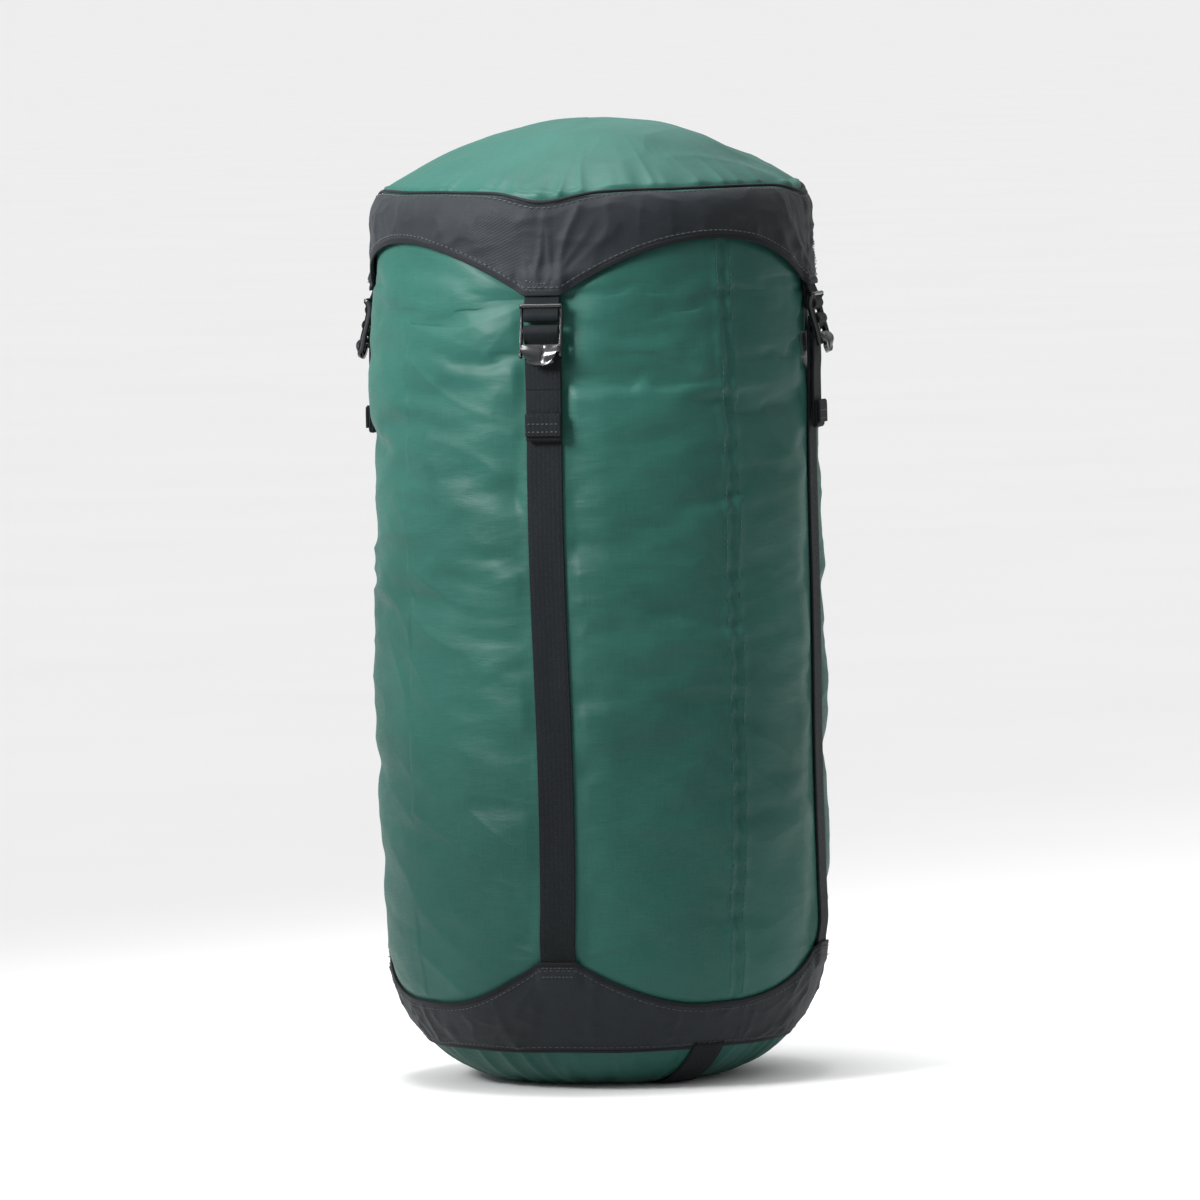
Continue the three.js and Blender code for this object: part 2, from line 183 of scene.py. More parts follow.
def ridges(points, scale, seed=0.0, sharp=2.0):
    """Fold lines: 1 along the crests of the noise, falling to 0 between them."""
    return (1 - np.abs(noise3(points, scale, seed))) ** sharp


def mesh_piece(name, verts, faces, uvs=None, material=None):
    mesh = bpy.data.meshes.new(name)
    mesh.from_pydata(np.asarray(verts).tolist(), [], [list(map(int, f)) for f in faces])
    if uvs is not None:
        layer = mesh.uv_layers.new(name="cloth")
        layer.data.foreach_set("uv", np.asarray(uvs, np.float32).ravel())
    mesh.shade_smooth()
    if material:
        mesh.materials.append(material)
    piece = bpy.data.objects.new(name, mesh)
    bpy.context.scene.collection.objects.link(piece)
    return piece


def grid_parts(points, closed, span):
    """Faces and UVs of a sheet given as an (around, up, 3) grid. span is its size in metres for the UVs."""
    n, m = points.shape[:2]
    columns = n if closed else n - 1
    i, j = np.meshgrid(np.arange(columns), np.arange(m - 1), indexing="ij")
    a = i * m + j
    b = ((i + 1) % n) * m + j
    faces = np.stack([a, b, b + 1, a + 1], -1).reshape(-1, 4)
    u0, u1 = i / columns * span[0], (i + 1) / columns * span[0]
    v0, v1 = j / (m - 1) * span[1], (j + 1) / (m - 1) * span[1]
    uvs = np.stack([u0, v0, u1, v0, u1, v1, u0, v1], -1).reshape(-1, 2)
    return faces, uvs


def sheet_piece(name, points, closed, span, material, thickness=0.0006):
    faces, uvs = grid_parts(points, closed, span)
    piece = mesh_piece(name, points.reshape(-1, 3), faces, uvs, material)
    if thickness:
        solidify = piece.modifiers.new("thickness", "SOLIDIFY")
        solidify.thickness = thickness
        solidify.offset = -1
        solidify.use_even_offset = False
        bake(piece)
    return piece


def settle(piece, body=None, nodes=()):
    """Hides the CAD nodes that a piece stands for and parents it to the body that it rides on."""
    if nodes:
        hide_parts(*nodes)
    if body:
        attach(piece, body)


def follow_press(piece):
    """Bakes the piece's transform into its mesh."""
    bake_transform(piece)


def bake(piece):
    """Applies every modifier on the piece."""
    shape = bpy.data.meshes.new_from_object(piece.evaluated_get(bpy.context.evaluated_depsgraph_get()))
    piece.modifiers.clear()
    old = piece.data
    piece.data = shape
    shape.name = piece.name
    bpy.data.meshes.remove(old)
    piece.data.shade_smooth()
    return piece


def joined(name, pieces):
    """One piece made of several, keeping their materials and UVs."""
    bpy.ops.object.select_all(action="DESELECT")
    for piece in pieces:
        piece.select_set(True)
    bpy.context.view_layer.objects.active = pieces[0]
    bpy.ops.object.join()
    pieces[0].name = pieces[0].data.name = name
    return pieces[0]


def directions(path, closed=False):
    if closed:
        along = np.roll(path, -1, 0) - np.roll(path, 1, 0)
    else:
        along = np.gradient(path, axis=0)
    return along / np.linalg.norm(along, axis=1, keepdims=True)


def sweep(name, path, across, outline, material, closed=False):
    """A closed outline of (across, out) offsets carried along a path. across is one direction or one each."""
    path = np.asarray(path, float)
    along = directions(path, closed)
    across = np.broadcast_to(np.asarray(across, float), path.shape)
    out = np.cross(across, along)
    out /= np.linalg.norm(out, axis=1, keepdims=True)
    outline = np.asarray(outline, float)
    rings = path[:, None] + outline[None, :, :1] * across[:, None] + outline[None, :, 1:] * out[:, None]
    n, k = rings.shape[:2]
    steps = n if closed else n - 1
    i, j = np.meshgrid(np.arange(steps), np.arange(k), indexing="ij")
    a, b = i * k + j, ((i + 1) % n) * k + j
    a2, b2 = i * k + (j + 1) % k, ((i + 1) % n) * k + (j + 1) % k
    faces = np.stack([a, b, b2, a2], -1).reshape(-1, 4).tolist()
    edge = np.linalg.norm(np.roll(outline, -1, 0) - outline, axis=1)
    round_u = np.concatenate([[0], np.cumsum(edge)])
    step = np.linalg.norm(np.roll(path, -1, 0) - path, axis=1)
    run_v = np.concatenate([[0], np.cumsum(step)])
    uvs = np.stack([round_u[j], run_v[i], round_u[j], run_v[i + 1], round_u[j + 1], run_v[i + 1],
                    round_u[j + 1], run_v[i]], -1).reshape(-1, 2)
    if not closed:
        faces += [list(range(k)), list(range((n - 1) * k, n * k))[::-1]]
        uvs = np.concatenate([uvs, outline, outline[::-1]])
    piece = mesh_piece(name, rings.reshape(-1, 3), faces, uvs, material)
    fix_normals(piece)
    return piece


def fix_normals(piece):
    work = bmesh.new()
    work.from_mesh(piece.data)
    bmesh.ops.recalc_face_normals(work, faces=work.faces)
    work.to_mesh(piece.data)
    work.free()


def rounded(width, thick, corner=0.45, steps=4):
    """Outline of flat webbing: a thin box with round edges."""
    r = thick * corner
    points = []
    for cx, cy, start in ((1, 1, 0), (-1, 1, 1), (-1, -1, 2), (1, -1, 3)):
        for s in range(steps + 1):
            a = QUARTER * (start + s / steps)
            points.append((cx * (width / 2 - r) + r * math.cos(a), cy * (thick / 2 - r) + r * math.sin(a)))
    # extra points across the flat faces, so that the webbing can cup a little
    full = []
    for p, q in zip(points, points[1:] + points[:1]):
        full.append(p)
        if abs(q[0] - p[0]) > width / 2:
            full += [(p[0] + (q[0] - p[0]) * t, p[1]) for t in (0.2, 0.4, 0.6, 0.8)]
    return full


def smooth_path(points, spacing):
    """A smooth curve through given points, resampled at a spacing."""
    points = np.asarray(points, float)
    padded = np.vstack([2 * points[0] - points[1], points, 2 * points[-1] - points[-2]])
    fine = []
    for k in range(1, len(padded) - 2):
        p0, p1, p2, p3 = padded[k - 1:k + 3]
        fine += [spline(p0, p1, p2, p3, t) for t in np.linspace(0, 1, 24, endpoint=False)]
    fine = np.array(fine + [points[-1]])
    length = run_along(fine)
    wanted = np.linspace(0, length[-1], max(int(length[-1] / spacing), 2) + 1)
    return np.stack([np.interp(wanted, length, fine[:, c]) for c in range(3)], 1)


def turned_copy(points, side):
    """Points laid out at the front strap, turned round the bag to a side's strap."""
    turn = SIDES.index(side) * QUARTER
    c, s = math.cos(turn), math.sin(turn)
    return np.asarray(points, float) @ np.array([[c, s, 0], [-s, c, 0], [0, 0, 1]])


def stitches(path, out, material, size, closed=False):
    """A row of raised thread stitches along a path; out is the cloth's outward direction at each point."""
    pitch, length, radius = size
    path, out = np.asarray(path, float), np.asarray(out, float)
    if closed:
        path, out = np.vstack([path, path[:1]]), np.vstack([out, out[:1]])
    run = run_along(path)
    count = max(int(run[-1] / pitch), 1)
    # each ring's place along the stitch, its width and its lift
    rings = ((-0.5, 0.35, -0.5), (-0.28, 1.0, 0.35), (0.28, 1.0, 0.35), (0.5, 0.35, -0.5))
    facets = 6
    verts, faces = [], []

    def at(rows, place):
        return np.array([np.interp(place, run, rows[:, c]) for c in range(3)])

    for k in range(count):
        centre = (k + 0.5) * run[-1] / count
        ends = [at(path, centre + s * length) for s in (-0.5, 0.5)]
        normal = at(out, centre)
        normal /= np.linalg.norm(normal)
        along = ends[1] - ends[0]
        size = np.linalg.norm(along)
        along /= size
        across = np.cross(normal, along)
        base = len(verts)
        for t, wide, lift in rings:
            middle = (ends[0] + ends[1]) / 2 + along * t * size + normal * lift * radius
            for q in range(facets):
                a = 2 * math.pi * q / facets
                verts.append(middle + radius * wide * (math.cos(a) * across + math.sin(a) * normal))
        for first in range(base, len(verts) - facets, facets):
            for q in range(facets):
                a, b = first + q, first + (q + 1) % facets
                faces.append([a, b, b + facets, a + facets])
        faces.append(list(range(base, base + facets))[::-1])
        faces.append(list(range(len(verts) - facets, len(verts))))
    piece = mesh_piece("stitches", verts, faces, None, material)
    fix_normals(piece)
    return piece


# ---------------- materials
def new_material(name, roughness, **sockets):
    material = bpy.data.materials.new(name)
    material.use_nodes = True
    shader = material.node_tree.nodes["Principled BSDF"]
    shader.inputs["Roughness"].default_value = roughness
    for socket, value in sockets.items():
        shader.inputs[socket.replace("_", " ")].default_value = value
    return material, material.node_tree, shader


def connect(tree, shader, **sockets):
    for socket, output in sockets.items():
        tree.links.new(output, shader.inputs[socket.replace("_", " ")])


def linear(r, g, b):
    """An sRGB colour of 0 to 255 as scene-linear RGBA."""
    channel = [c / 255 / 12.92 if c <= 10 else ((c / 255 + 0.055) / 1.055) ** 2.4 for c in (r, g, b)]
    return (*channel, 1.0)


def node(tree, kind, inputs=None, **settings):
    made = tree.nodes.new(kind)
    for key, value in settings.items():
        setattr(made, key, value)
    for key, value in (inputs or {}).items():
        if isinstance(value, bpy.types.NodeSocket):
            tree.links.new(value, made.inputs[key])
        else:
            made.inputs[key].default_value = value
    return made


def math_node(tree, operation, a, b=0.0):
    return node(tree, "ShaderNodeMath", {0: a, 1: b}, operation=operation).outputs[0]


def stretched(tree, source, x, y, z=1.0):
    """Coordinates multiplied by x, y and z."""
    return node(tree, "ShaderNodeMapping", {"Vector": source, "Scale": (x, y, z)}).outputs[0]


def noise_node(tree, vector, scale, detail=3.0, roughness=0.55):
    return node(tree, "ShaderNodeTexNoise", {"Vector": vector, "Scale": scale, "Detail": detail,
                                             "Roughness": roughness}).outputs["Fac"]


def ramp(tree, value, low, high, to_low=0.0, to_high=1.0):
    return node(tree, "ShaderNodeMapRange", {"Value": value, "From Min": low, "From Max": high,
                                             "To Min": to_low, "To Max": to_high}).outputs[0]


def mix_colour(tree, factor, a, b):
    return node(tree, "ShaderNodeMix", {0: factor, 6: a, 7: b}, data_type="RGBA").outputs[2]


def bump_node(tree, height, strength, distance, **under):
    return node(tree, "ShaderNodeBump", {"Height": height, "Strength": strength, "Distance": distance,
                                         **under}).outputs[0]


def cloth_uv(tree):
    return node(tree, "ShaderNodeUVMap", uv_map="cloth").outputs[0]


def object_place(tree):
    return node(tree, "ShaderNodeTexCoord").outputs["Object"]


def thread_height(tree, uv, pitch):
    """Plain weave: warp and weft threads passing over and under each other, as a height of 0 to 1."""
    rate = math.pi / pitch
    split = node(tree, "ShaderNodeSeparateXYZ", {0: uv})
    across = math_node(tree, "SINE", math_node(tree, "MULTIPLY", split.outputs[0], rate))
    along = math_node(tree, "SINE", math_node(tree, "MULTIPLY", split.outputs[1], rate))
    product = math_node(tree, "MULTIPLY", across, along)
    return math_node(tree, "MULTIPLY_ADD", product, 0.5)


def cloth_material(name, dark, light, roughness, pitch, sheen, sheen_tint, bump, specular, slub=0.35):
    """Plain-woven nylon: colour varies by thread and in soft patches, and faint creases break its gloss."""
    material, tree, shader = new_material(name, roughness, Sheen_Weight=sheen, Sheen_Roughness=0.45,
                                          Sheen_Tint=sheen_tint, Specular_IOR_Level=specular)
    uv = cloth_uv(tree)
    place = object_place(tree)
    warp = noise_node(tree, stretched(tree, uv, 1 / pitch, 0.06 / pitch), 1.0, 2.0)
    weft = noise_node(tree, stretched(tree, uv, 0.06 / pitch, 1 / pitch), 1.0, 2.0)
    threads = math_node(tree, "ADD", warp, weft)
    patches = noise_node(tree, place, 9.0, 4.0)
    fade = math_node(tree, "ADD", ramp(tree, patches, 0.3, 0.7, 0, 0.75),
                     ramp(tree, threads, 0.7, 1.3, -slub / 2, slub / 2))
    rough = ramp(tree, threads, 0.7, 1.3, roughness - 0.06, roughness + 0.08)
    weave = math_node(tree, "ADD", thread_height(tree, uv, pitch), math_node(tree, "MULTIPLY", threads, 0.7))
    crease = noise_node(tree, stretched(tree, place, 1, 1, 3.2), 70.0, 3.0, 0.6)
    soft = bump_node(tree, crease, 0.22, 0.0016, Normal=bump_node(tree, weave, bump, pitch * 0.5))
    connect(tree, shader, Base_Color=mix_colour(tree, fade, dark, light), Roughness=rough, Normal=soft)
    return material


RIB_COLUMN, RIB_PITCH = 0.0012, 0.0011  # the webbing's ribs: width of a column, and spacing


def webbing_material(name, dark, light):
    """Woven tape: herringbone ribs along its length, with a duller, slightly worn face."""
    material, tree, shader = new_material(name, 0.68, Sheen_Weight=0.02, Sheen_Roughness=0.5,
                                          Specular_IOR_Level=0.1)
    uv = cloth_uv(tree)
    split = node(tree, "ShaderNodeSeparateXYZ", {0: uv})
    column = math_node(tree, "PINGPONG", split.outputs[0], RIB_COLUMN)
    slant = math_node(tree, "ADD", math_node(tree, "MULTIPLY", column, 0.9), split.outputs[1])
    rib = math_node(tree, "SINE", math_node(tree, "MULTIPLY", slant, 2 * math.pi / RIB_PITCH))
    across = math_node(tree, "MULTIPLY", split.outputs[0], math.pi / RIB_COLUMN)
    groove = math_node(tree, "SINE", across)
    height = math_node(tree, "ADD", rib, math_node(tree, "MULTIPLY", groove, 0.5))
    fuzz = noise_node(tree, stretched(tree, uv, 900, 500), 1.0, 3.0)
    wear = noise_node(tree, stretched(tree, uv, 60, 18), 1.0, 4.0)
    shade = math_node(tree, "ADD", ramp(tree, rib, -1, 1, 0, 0.45), ramp(tree, wear, 0.3, 0.75, 0, 0.5))
    connect(tree, shader, Base_Color=mix_colour(tree, shade, dark, light),
            Roughness=ramp(tree, fuzz, 0.3, 0.7, 0.6, 0.8),
            Normal=bump_node(tree, math_node(tree, "ADD", height, fuzz), 0.5, 0.00022))
    return material


def plastic_material(name, colour, worn, roughness):
    """Moulded plastic: fine moulding grain, scuffs where the gloss has worn, and a faint flow."""
    material, tree, shader = new_material(name, roughness, Specular_IOR_Level=0.6)
    place = object_place(tree)
    grain = noise_node(tree, place, 2600.0, 2.0)
    flow = noise_node(tree, stretched(tree, place, 1, 1, 0.35), 160.0, 3.0)
    scuff = noise_node(tree, stretched(tree, place, 900, 900, 90), 1.0, 5.0, 0.7)
    marks = ramp(tree, scuff, 0.62, 0.8)
    rough = math_node(tree, "ADD", ramp(tree, flow, 0.3, 0.7, roughness - 0.05, roughness + 0.07),
                      math_node(tree, "MULTIPLY", marks, 0.2))
    height = math_node(tree, "ADD", math_node(tree, "MULTIPLY", grain, 0.3), flow)
    connect(tree, shader, Base_Color=mix_colour(tree, marks, colour, worn), Roughness=rough,
            Normal=bump_node(tree, height, 0.18, 0.0002))
    return material


def thread_material(name, dark, light):
    material, tree, shader = new_material(name, 0.55, Sheen_Weight=0.2, Specular_IOR_Level=0.35)
    twist = noise_node(tree, object_place(tree), 3500.0, 2.0)
    connect(tree, shader, Base_Color=mix_colour(tree, ramp(tree, twist, 0.35, 0.65), dark, light),
            Normal=bump_node(tree, twist, 0.4, 0.0002))
    return material


def steel_material(name):
    material, tree, shader = new_material(name, 0.3, Metallic=1.0)
    drawn = noise_node(tree, object_place(tree), 1800.0, 3.0)
    shade = mix_colour(tree, ramp(tree, drawn, 0.3, 0.7), linear(150, 152, 155), linear(196, 198, 200))
    connect(tree, shader, Base_Color=shade, Roughness=ramp(tree, drawn, 0.3, 0.7, 0.24, 0.42))
    return material


GREEN = cloth_material("green_nylon", linear(18, 60, 53), linear(31, 79, 70), 0.5, 0.0007, 0.05,
                       (0.45, 0.85, 0.75, 1), 0.16, 0.2)
BLACK = cloth_material("black_packcloth", linear(20, 23, 26), linear(31, 35, 39), 0.62, 0.0009, 0.06,
                       (0.8, 0.85, 0.9, 1), 0.3, 0.14)
# binding tape, darker than the yoke's packcloth: partly its own black, partly painted shade for the shadow
# lines along the yokes' edges
BINDING_AND_EDGE_SHADE = cloth_material("black_binding_painted_edge_shade", linear(11, 14, 16), linear(19, 22, 25), 0.62, 0.0006, 0.04,
                         (0.8, 0.85, 0.9, 1), 0.35, 0.12)
WEBBING = webbing_material("black_webbing", linear(10, 13, 15), linear(24, 28, 31))
PLASTIC = plastic_material("buckle_plastic", linear(15, 17, 19), linear(44, 47, 51), 0.22)
GREEN_THREAD = thread_material("green_thread", linear(14, 50, 44), linear(25, 74, 65))
BLACK_THREAD = thread_material("black_thread", linear(18, 21, 24), linear(43, 47, 52))
STEEL = steel_material("spring_steel")


# ---------------- the bag's tube
def press_simulation(points, span):
    """The tube is pressed a little shorter between its ends while pressure keeps it full, so it wrinkles."""
    around, up = points.shape[:2]
    faces, _ = grid_parts(points, True, span)
    piece = mesh_piece("tube_for_simulation", points.reshape(-1, 3), faces)
    scene = bpy.context.scene
    press = 0.972  # height left when pressed
    pressed_at, last = 16, 24  # frames
    piece.shape_key_add(name="full")
    key = piece.shape_key_add(name="pressed")
    low = points[..., 2].min()
    for index, point in enumerate(points.reshape(-1, 3)):
        key.data[index].co = (point[0], point[1], low + (point[2] - low) * press)
    key.value = 0
    key.keyframe_insert("value", frame=1)
    key.value = 1
    key.keyframe_insert("value", frame=pressed_at)
    held = piece.vertex_groups.new(name="held")
    rows = np.arange(around * up).reshape(around, up)
    held.add(np.concatenate([rows[:, :2].ravel(), rows[:, -2:].ravel()]).tolist(), 1.0, "REPLACE")
    cloth = piece.modifiers.new("cloth", "CLOTH")
    settings = cloth.settings
    settings.vertex_group_mass = "held"
    settings.quality = 5
    settings.mass = 0.08
    settings.tension_stiffness = settings.compression_stiffness = 18
    settings.shear_stiffness = 6
    settings.bending_stiffness = 0.35
    settings.tension_damping = settings.compression_damping = 8
    settings.air_damping = 3
    settings.use_pressure = True
    settings.uniform_pressure_force = 3.0
    settings.effector_weights.gravity = 0
    settings.shrink_min = -0.012
    cloth.collision_settings.use_collision = False
    cloth.point_cache.frame_start, cloth.point_cache.frame_end = 1, last
    for step in range(1, last + 1):
        scene.frame_set(step)
    result = bpy.data.meshes.new_from_object(piece.evaluated_get(bpy.context.evaluated_depsgraph_get()))
    shape = np.zeros(len(result.vertices) * 3)
    result.vertices.foreach_get("co", shape)
    bpy.data.objects.remove(piece)
    scene.frame_set(1)
    shape = shape.reshape(around, up, 3)
    # stretch the pressed tube back over its full height
    shape[..., 2] = low + (shape[..., 2] - low) / press
    return shape


def tube_points():
    """The bag's tube as a grid, wrinkled by the pressing simulation and made finer."""
    around, up, finer = 176, 116, 3
    low, high = BASE_LOW_Z + 0.006, TUBE_TOP_Z
    z = np.linspace(low, high, up)
    angle, height = np.meshgrid(angles_round(around), z, indexing="ij")
    points = polar(side_radius(height) - CLOTH_IN, angle, height)
    # uneven cloth to start the simulation's wrinkles
    seeds = 0.012 * noise3(points, (0.07, 0.07, 0.019), 3.1)
    seeds = seeds + 0.006 * noise3(points, (0.03, 0.03, 0.009), 6.3)
    points[..., :2] *= (1 + seeds * smooth((z - low) / 0.05) * smooth((high - z) / 0.05))[..., None]
    span = (GIRTH, high - low)
    points = press_simulation(points, span)
    # a finer grid, by interpolation round and up
    place = np.arange(around * finer) / finer
    first = np.floor(place).astype(int)
    four = (points[(first + k) % around] for k in (-1, 0, 1, 2))
    wide = spline(*four, (place - first)[:, None, None])
    place = np.arange((up - 1) * finer + 1) / finer
    first = np.floor(place).astype(int)
    four = (wide[:, np.clip(first + k, 0, up - 1)] for k in (-1, 0, 1, 2))
    fine = spline(*four, (place - first)[None, :, None])
    return fine, span


def strap_line(z, side_number):
    """A load strap's sideways sway and its middle's distance from the axis, at a height."""
    rise = z - (BASE_TIP_Z - 0.009)
    free = smooth((rise - 0.01) / 0.03) * smooth((STRAP_TOP - z) / 0.05)
    sway = 0.0011 * np.sin(rise / 0.052 + 1.7 * side_number) * free
    drift = (0.0003 * np.sin(rise / 0.027 + side_number) - 0.0009) * free
    under_tip = SIDE_R + CLOTH_IN + WEB_T / 2
    on_bag = STRAP_IN + WEB_T / 2
    middle = under_tip + (on_bag - under_tip) * smooth((z - BASE_TIP_Z + 0.002) / 0.016) + drift
    return sway, middle


def blurred(values, passes):
    """Values on an (around, up) grid, averaged with their neighbours a number of times."""
    for _ in range(passes):
        values = (np.roll(values, 1, 0) + 2 * values + np.roll(values, -1, 0)) / 4
        padded = np.pad(values, ((0, 0), (1, 1)), mode="edge")
        values = (padded[:, :-2] + 2 * values + padded[:, 2:]) / 4
    return values


def dress_tube(points):
    """Adds stuffing lumps and fine wrinkles, and keeps the cloth under the straps and yokes."""
    angle = np.arctan2(points[..., 1], points[..., 0])
    radius = np.hypot(points[..., 0], points[..., 1])
    z = points[..., 2]
    ideal = side_radius(z) - CLOTH_IN
    swell = blurred(radius - ideal, 10)
    swell = np.clip(0.004 * np.tanh(swell / 0.004), -0.004, 0.0032)
    swell *= 0.35 + 0.65 * smooth((z - 0.09) / 0.08) * smooth((0.415 - z) / 0.06)
    away = from_strap(angle)
    flat = polar(SIDE_R, angle, z)
    # the cloth swells between the straps
    pillow = 0.0025 * smooth((np.abs(away) - 0.008) / 0.024)
    pillow = pillow * smooth((z - 0.05) / 0.05) * smooth((0.45 - z) / 0.04)
    lumps = 0.0022 * noise3(flat, (0.075, 0.075, 0.055), 1.7)
    lumps = lumps + 0.0013 * noise3(flat, (0.042, 0.042, 0.026), 2.9)
    lumps = lumps * (0.45 + 0.55 * smooth((0.43 - z) / 0.05)) + pillow
    bend = flat + 0.012 * noise3(flat, 0.07, 8.4)[..., None] * np.array([0, 0, 1])
    patch = smooth(0.5 + 0.9 * noise3(flat, (0.07, 0.07, 0.05), 5.5))
    middle = 0.2 + 0.8 * np.exp(-((z - 0.27) / 0.10) ** 2)
    fine = 0.0017 * (ridges(bend, (0.06, 0.06, 0.018), 2.2, 2.2) - 0.5) * patch * middle
    fine += 0.0007 * (ridges(bend, (0.034, 0.034, 0.010), 4.4, 2.0) - 0.5) * patch * middle
    slant = bend + 0.5 * np.stack([0 * z, 0 * z, away], -1)
    long_folds = 0.0011 * (ridges(slant, (0.08, 0.08, 0.024), 7.7, 4.0) - 0.3)
    fine += long_folds * (1 - patch * 0.7) * smooth((0.43 - z) / 0.05)
    # folds that fan out from each point of the base yoke and of the lid
    fan = np.zeros_like(z)
    for tip, reach, seed in ((BASE_TIP_Z, 0.05, 0.0), (LID_TIP_Z, -0.05, 9.0)):
        rise = (z - tip) / reach
        distance = np.hypot(away, z - tip)
        direction = np.arctan2(z - tip, np.abs(away) + 1e-4)
        sector = np.sign(away) + np.floor((angle + 4) / QUARTER)
        where = np.stack([direction * 2.6, distance / 0.05, sector], -1)
        strength = np.exp(-distance / 0.04) * smooth(rise + 0.9)
        fan += 0.0020 * (ridges(where, 1.0, seed, 2.0) - 0.5) * strength
    seam_gap = (np.remainder(angle - SEAM_ANGLE + math.pi, 2 * math.pi) - math.pi) * SIDE_R
    seam = -0.0009 * np.exp(-(seam_gap / 0.0016) ** 2)
    seam += 0.0006 * np.exp(-((np.abs(seam_gap) - 0.004) / 0.0022) ** 2)
    wave = np.sin(z / 0.0021 + 3 * noise3(flat, 0.03, 6.0))
    pucker = 0.0005 * wave * np.exp(-(seam_gap / 0.006) ** 2)
    radius = ideal + swell + lumps + fine + fan + seam + pucker
    # under a strap the cloth is pressed flat against its inner face, and behind a buckle it keeps clear
    sway, middle = strap_line(z, np.round((angle - FRONT) / QUARTER) % len(SIDES))
    beside = np.abs(away - sway)
    under = 1 - smooth((beside - 0.0095) / 0.008)
    contact = np.hypot(middle - WEB_T / 2 - 0.0003, np.minimum(beside, WEB_W / 2))
    behind_buckle = smooth((z - STRAP_TOP + 0.03) / 0.03)
    clear = np.minimum(radius, STRAP_IN - 0.0018)
    pressed = contact * (1 - behind_buckle) + clear * behind_buckle
    radius = radius + (pressed - radius) * under
    # under the yokes it lies smooth, just inside them
    for edge, sign in ((base_edge(angle), -1), (lid_edge(angle), 1)):
        covered = smooth((sign * (z - edge) + 0.004) / 0.006)
        radius = radius * (1 - covered) + np.minimum(radius, ideal - 0.0002) * covered
    return polar(radius, angle, z)


def make_tube():
    points, span = tube_points()
    points = dress_tube(points)
    tube = sheet_piece("bag_tube", points, True, span, GREEN, CLOTH_T)
    settle(tube, nodes=["body_tube"])
    follow_press(tube)
    return points


def tube_radius(points, angle, z):
    """The dressed tube's radius at an angle and height, read from its grid."""
    around, up = points.shape[:2]
    radius = np.hypot(points[..., 0], points[..., 1])
    i = np.remainder(angle / (2 * math.pi) * around, around)
    low, high = points[0, 0, 2], points[0, -1, 2]
    j = np.clip((z - low) / (high - low), 0, 1) * (up - 1)
    return radius[np.rint(i).astype(int) % around, np.rint(j).astype(int)]


def make_seam_stitches(points):
    rows = []
    z = np.arange(0.05, 0.46, 0.002)
    for gap in (-0.0042, 0.0042):
        angle = np.full_like(z, SEAM_ANGLE + gap / SIDE_R)
        path = polar(tube_radius(points, angle, z) + 0.0001, angle, z)
        rows.append(stitches(path, polar(1, angle, 0 * z), GREEN_THREAD, SEAM_STITCH))
    seam = joined("side_seam_stitching", rows)
    settle(seam)
    follow_press(seam)


# ---------------- the lid
def lid_profile():
    """Outline of the lid from below its lowest point, over the shoulder, to the middle of the crown."""
    shoulder = SHOULDER_Z + 0.012
    outline = [(SIDE_R + 0.0022, z) for z in np.linspace(LID_TIP_Z - 0.004, shoulder, 12)]
    wide, high = SIDE_R + 0.0022 - CROWN_R, CROWN_Z + 0.0008 - shoulder
    for turn in QUARTER * np.linspace(0, 1, 24)[1:]:
        outline.append((CROWN_R + wide * math.cos(turn), shoulder + high * math.sin(turn) ** 0.92))
    seam = len(outline) - 1
    for r in np.linspace(CROWN_R, 0, 60)[1:]:
        share = r / CROWN_R
        outline.append((r, CROWN_Z + 0.0008 + (HEIGHT - CROWN_Z - 0.0008) * (1 - share ** 2.1)))
    outline = np.array(outline)
    return outline, run_along(outline), seam


LID_LINE, LID_RUN, SEAM_POINT = lid_profile()
LID_SEAM = LID_RUN[SEAM_POINT]
RING = angles_round(560)  # polar angles of the lid's and the base's columns


def on_outline(line, runs, angle, run, lift):
    """Points at an angle and a distance along a turned outline, lifted off it, and its normals there."""
    step = 0.0015  # the slope is taken over this far each way

    def at(place):
        return np.stack([np.interp(place, runs, line[:, c]) for c in range(2)])

    dr, dz = at(run + step) - at(run - step)
    size = np.hypot(dr, dz)
    nr, nz = dz / size, -dr / size
    r, z = at(run)
    return polar(r + nr * lift, angle, z + nz * lift), polar(nr, angle, nz)


def on_lid(angle, run, lift):
    return on_outline(LID_LINE, LID_RUN, angle, run, lift)


def lid_low_run(angle):
    """Distance up the outline of the yoke's lower edge."""
    ring = polar(1, angle, 0 * angle)
    z = lid_edge(angle) + 0.0009 * noise3(ring, 0.35, 2.0) * (1 - point_shape(angle, LID_SPREAD))
    return np.interp(z, LID_LINE[:SEAM_POINT + 1, 1], LID_RUN[:SEAM_POINT + 1])


def lid_seam_run(angle):
    """Distance up the outline of the crown's seam, which dips where the straps pull on it."""
    ring = polar(1, angle, 0 * angle)
    dip = 0.0078 * np.exp(-(from_strap(angle) / 0.027) ** 2)
    return LID_SEAM - dip - 0.001 + 0.0022 * noise3(ring, 0.3, 7.0)


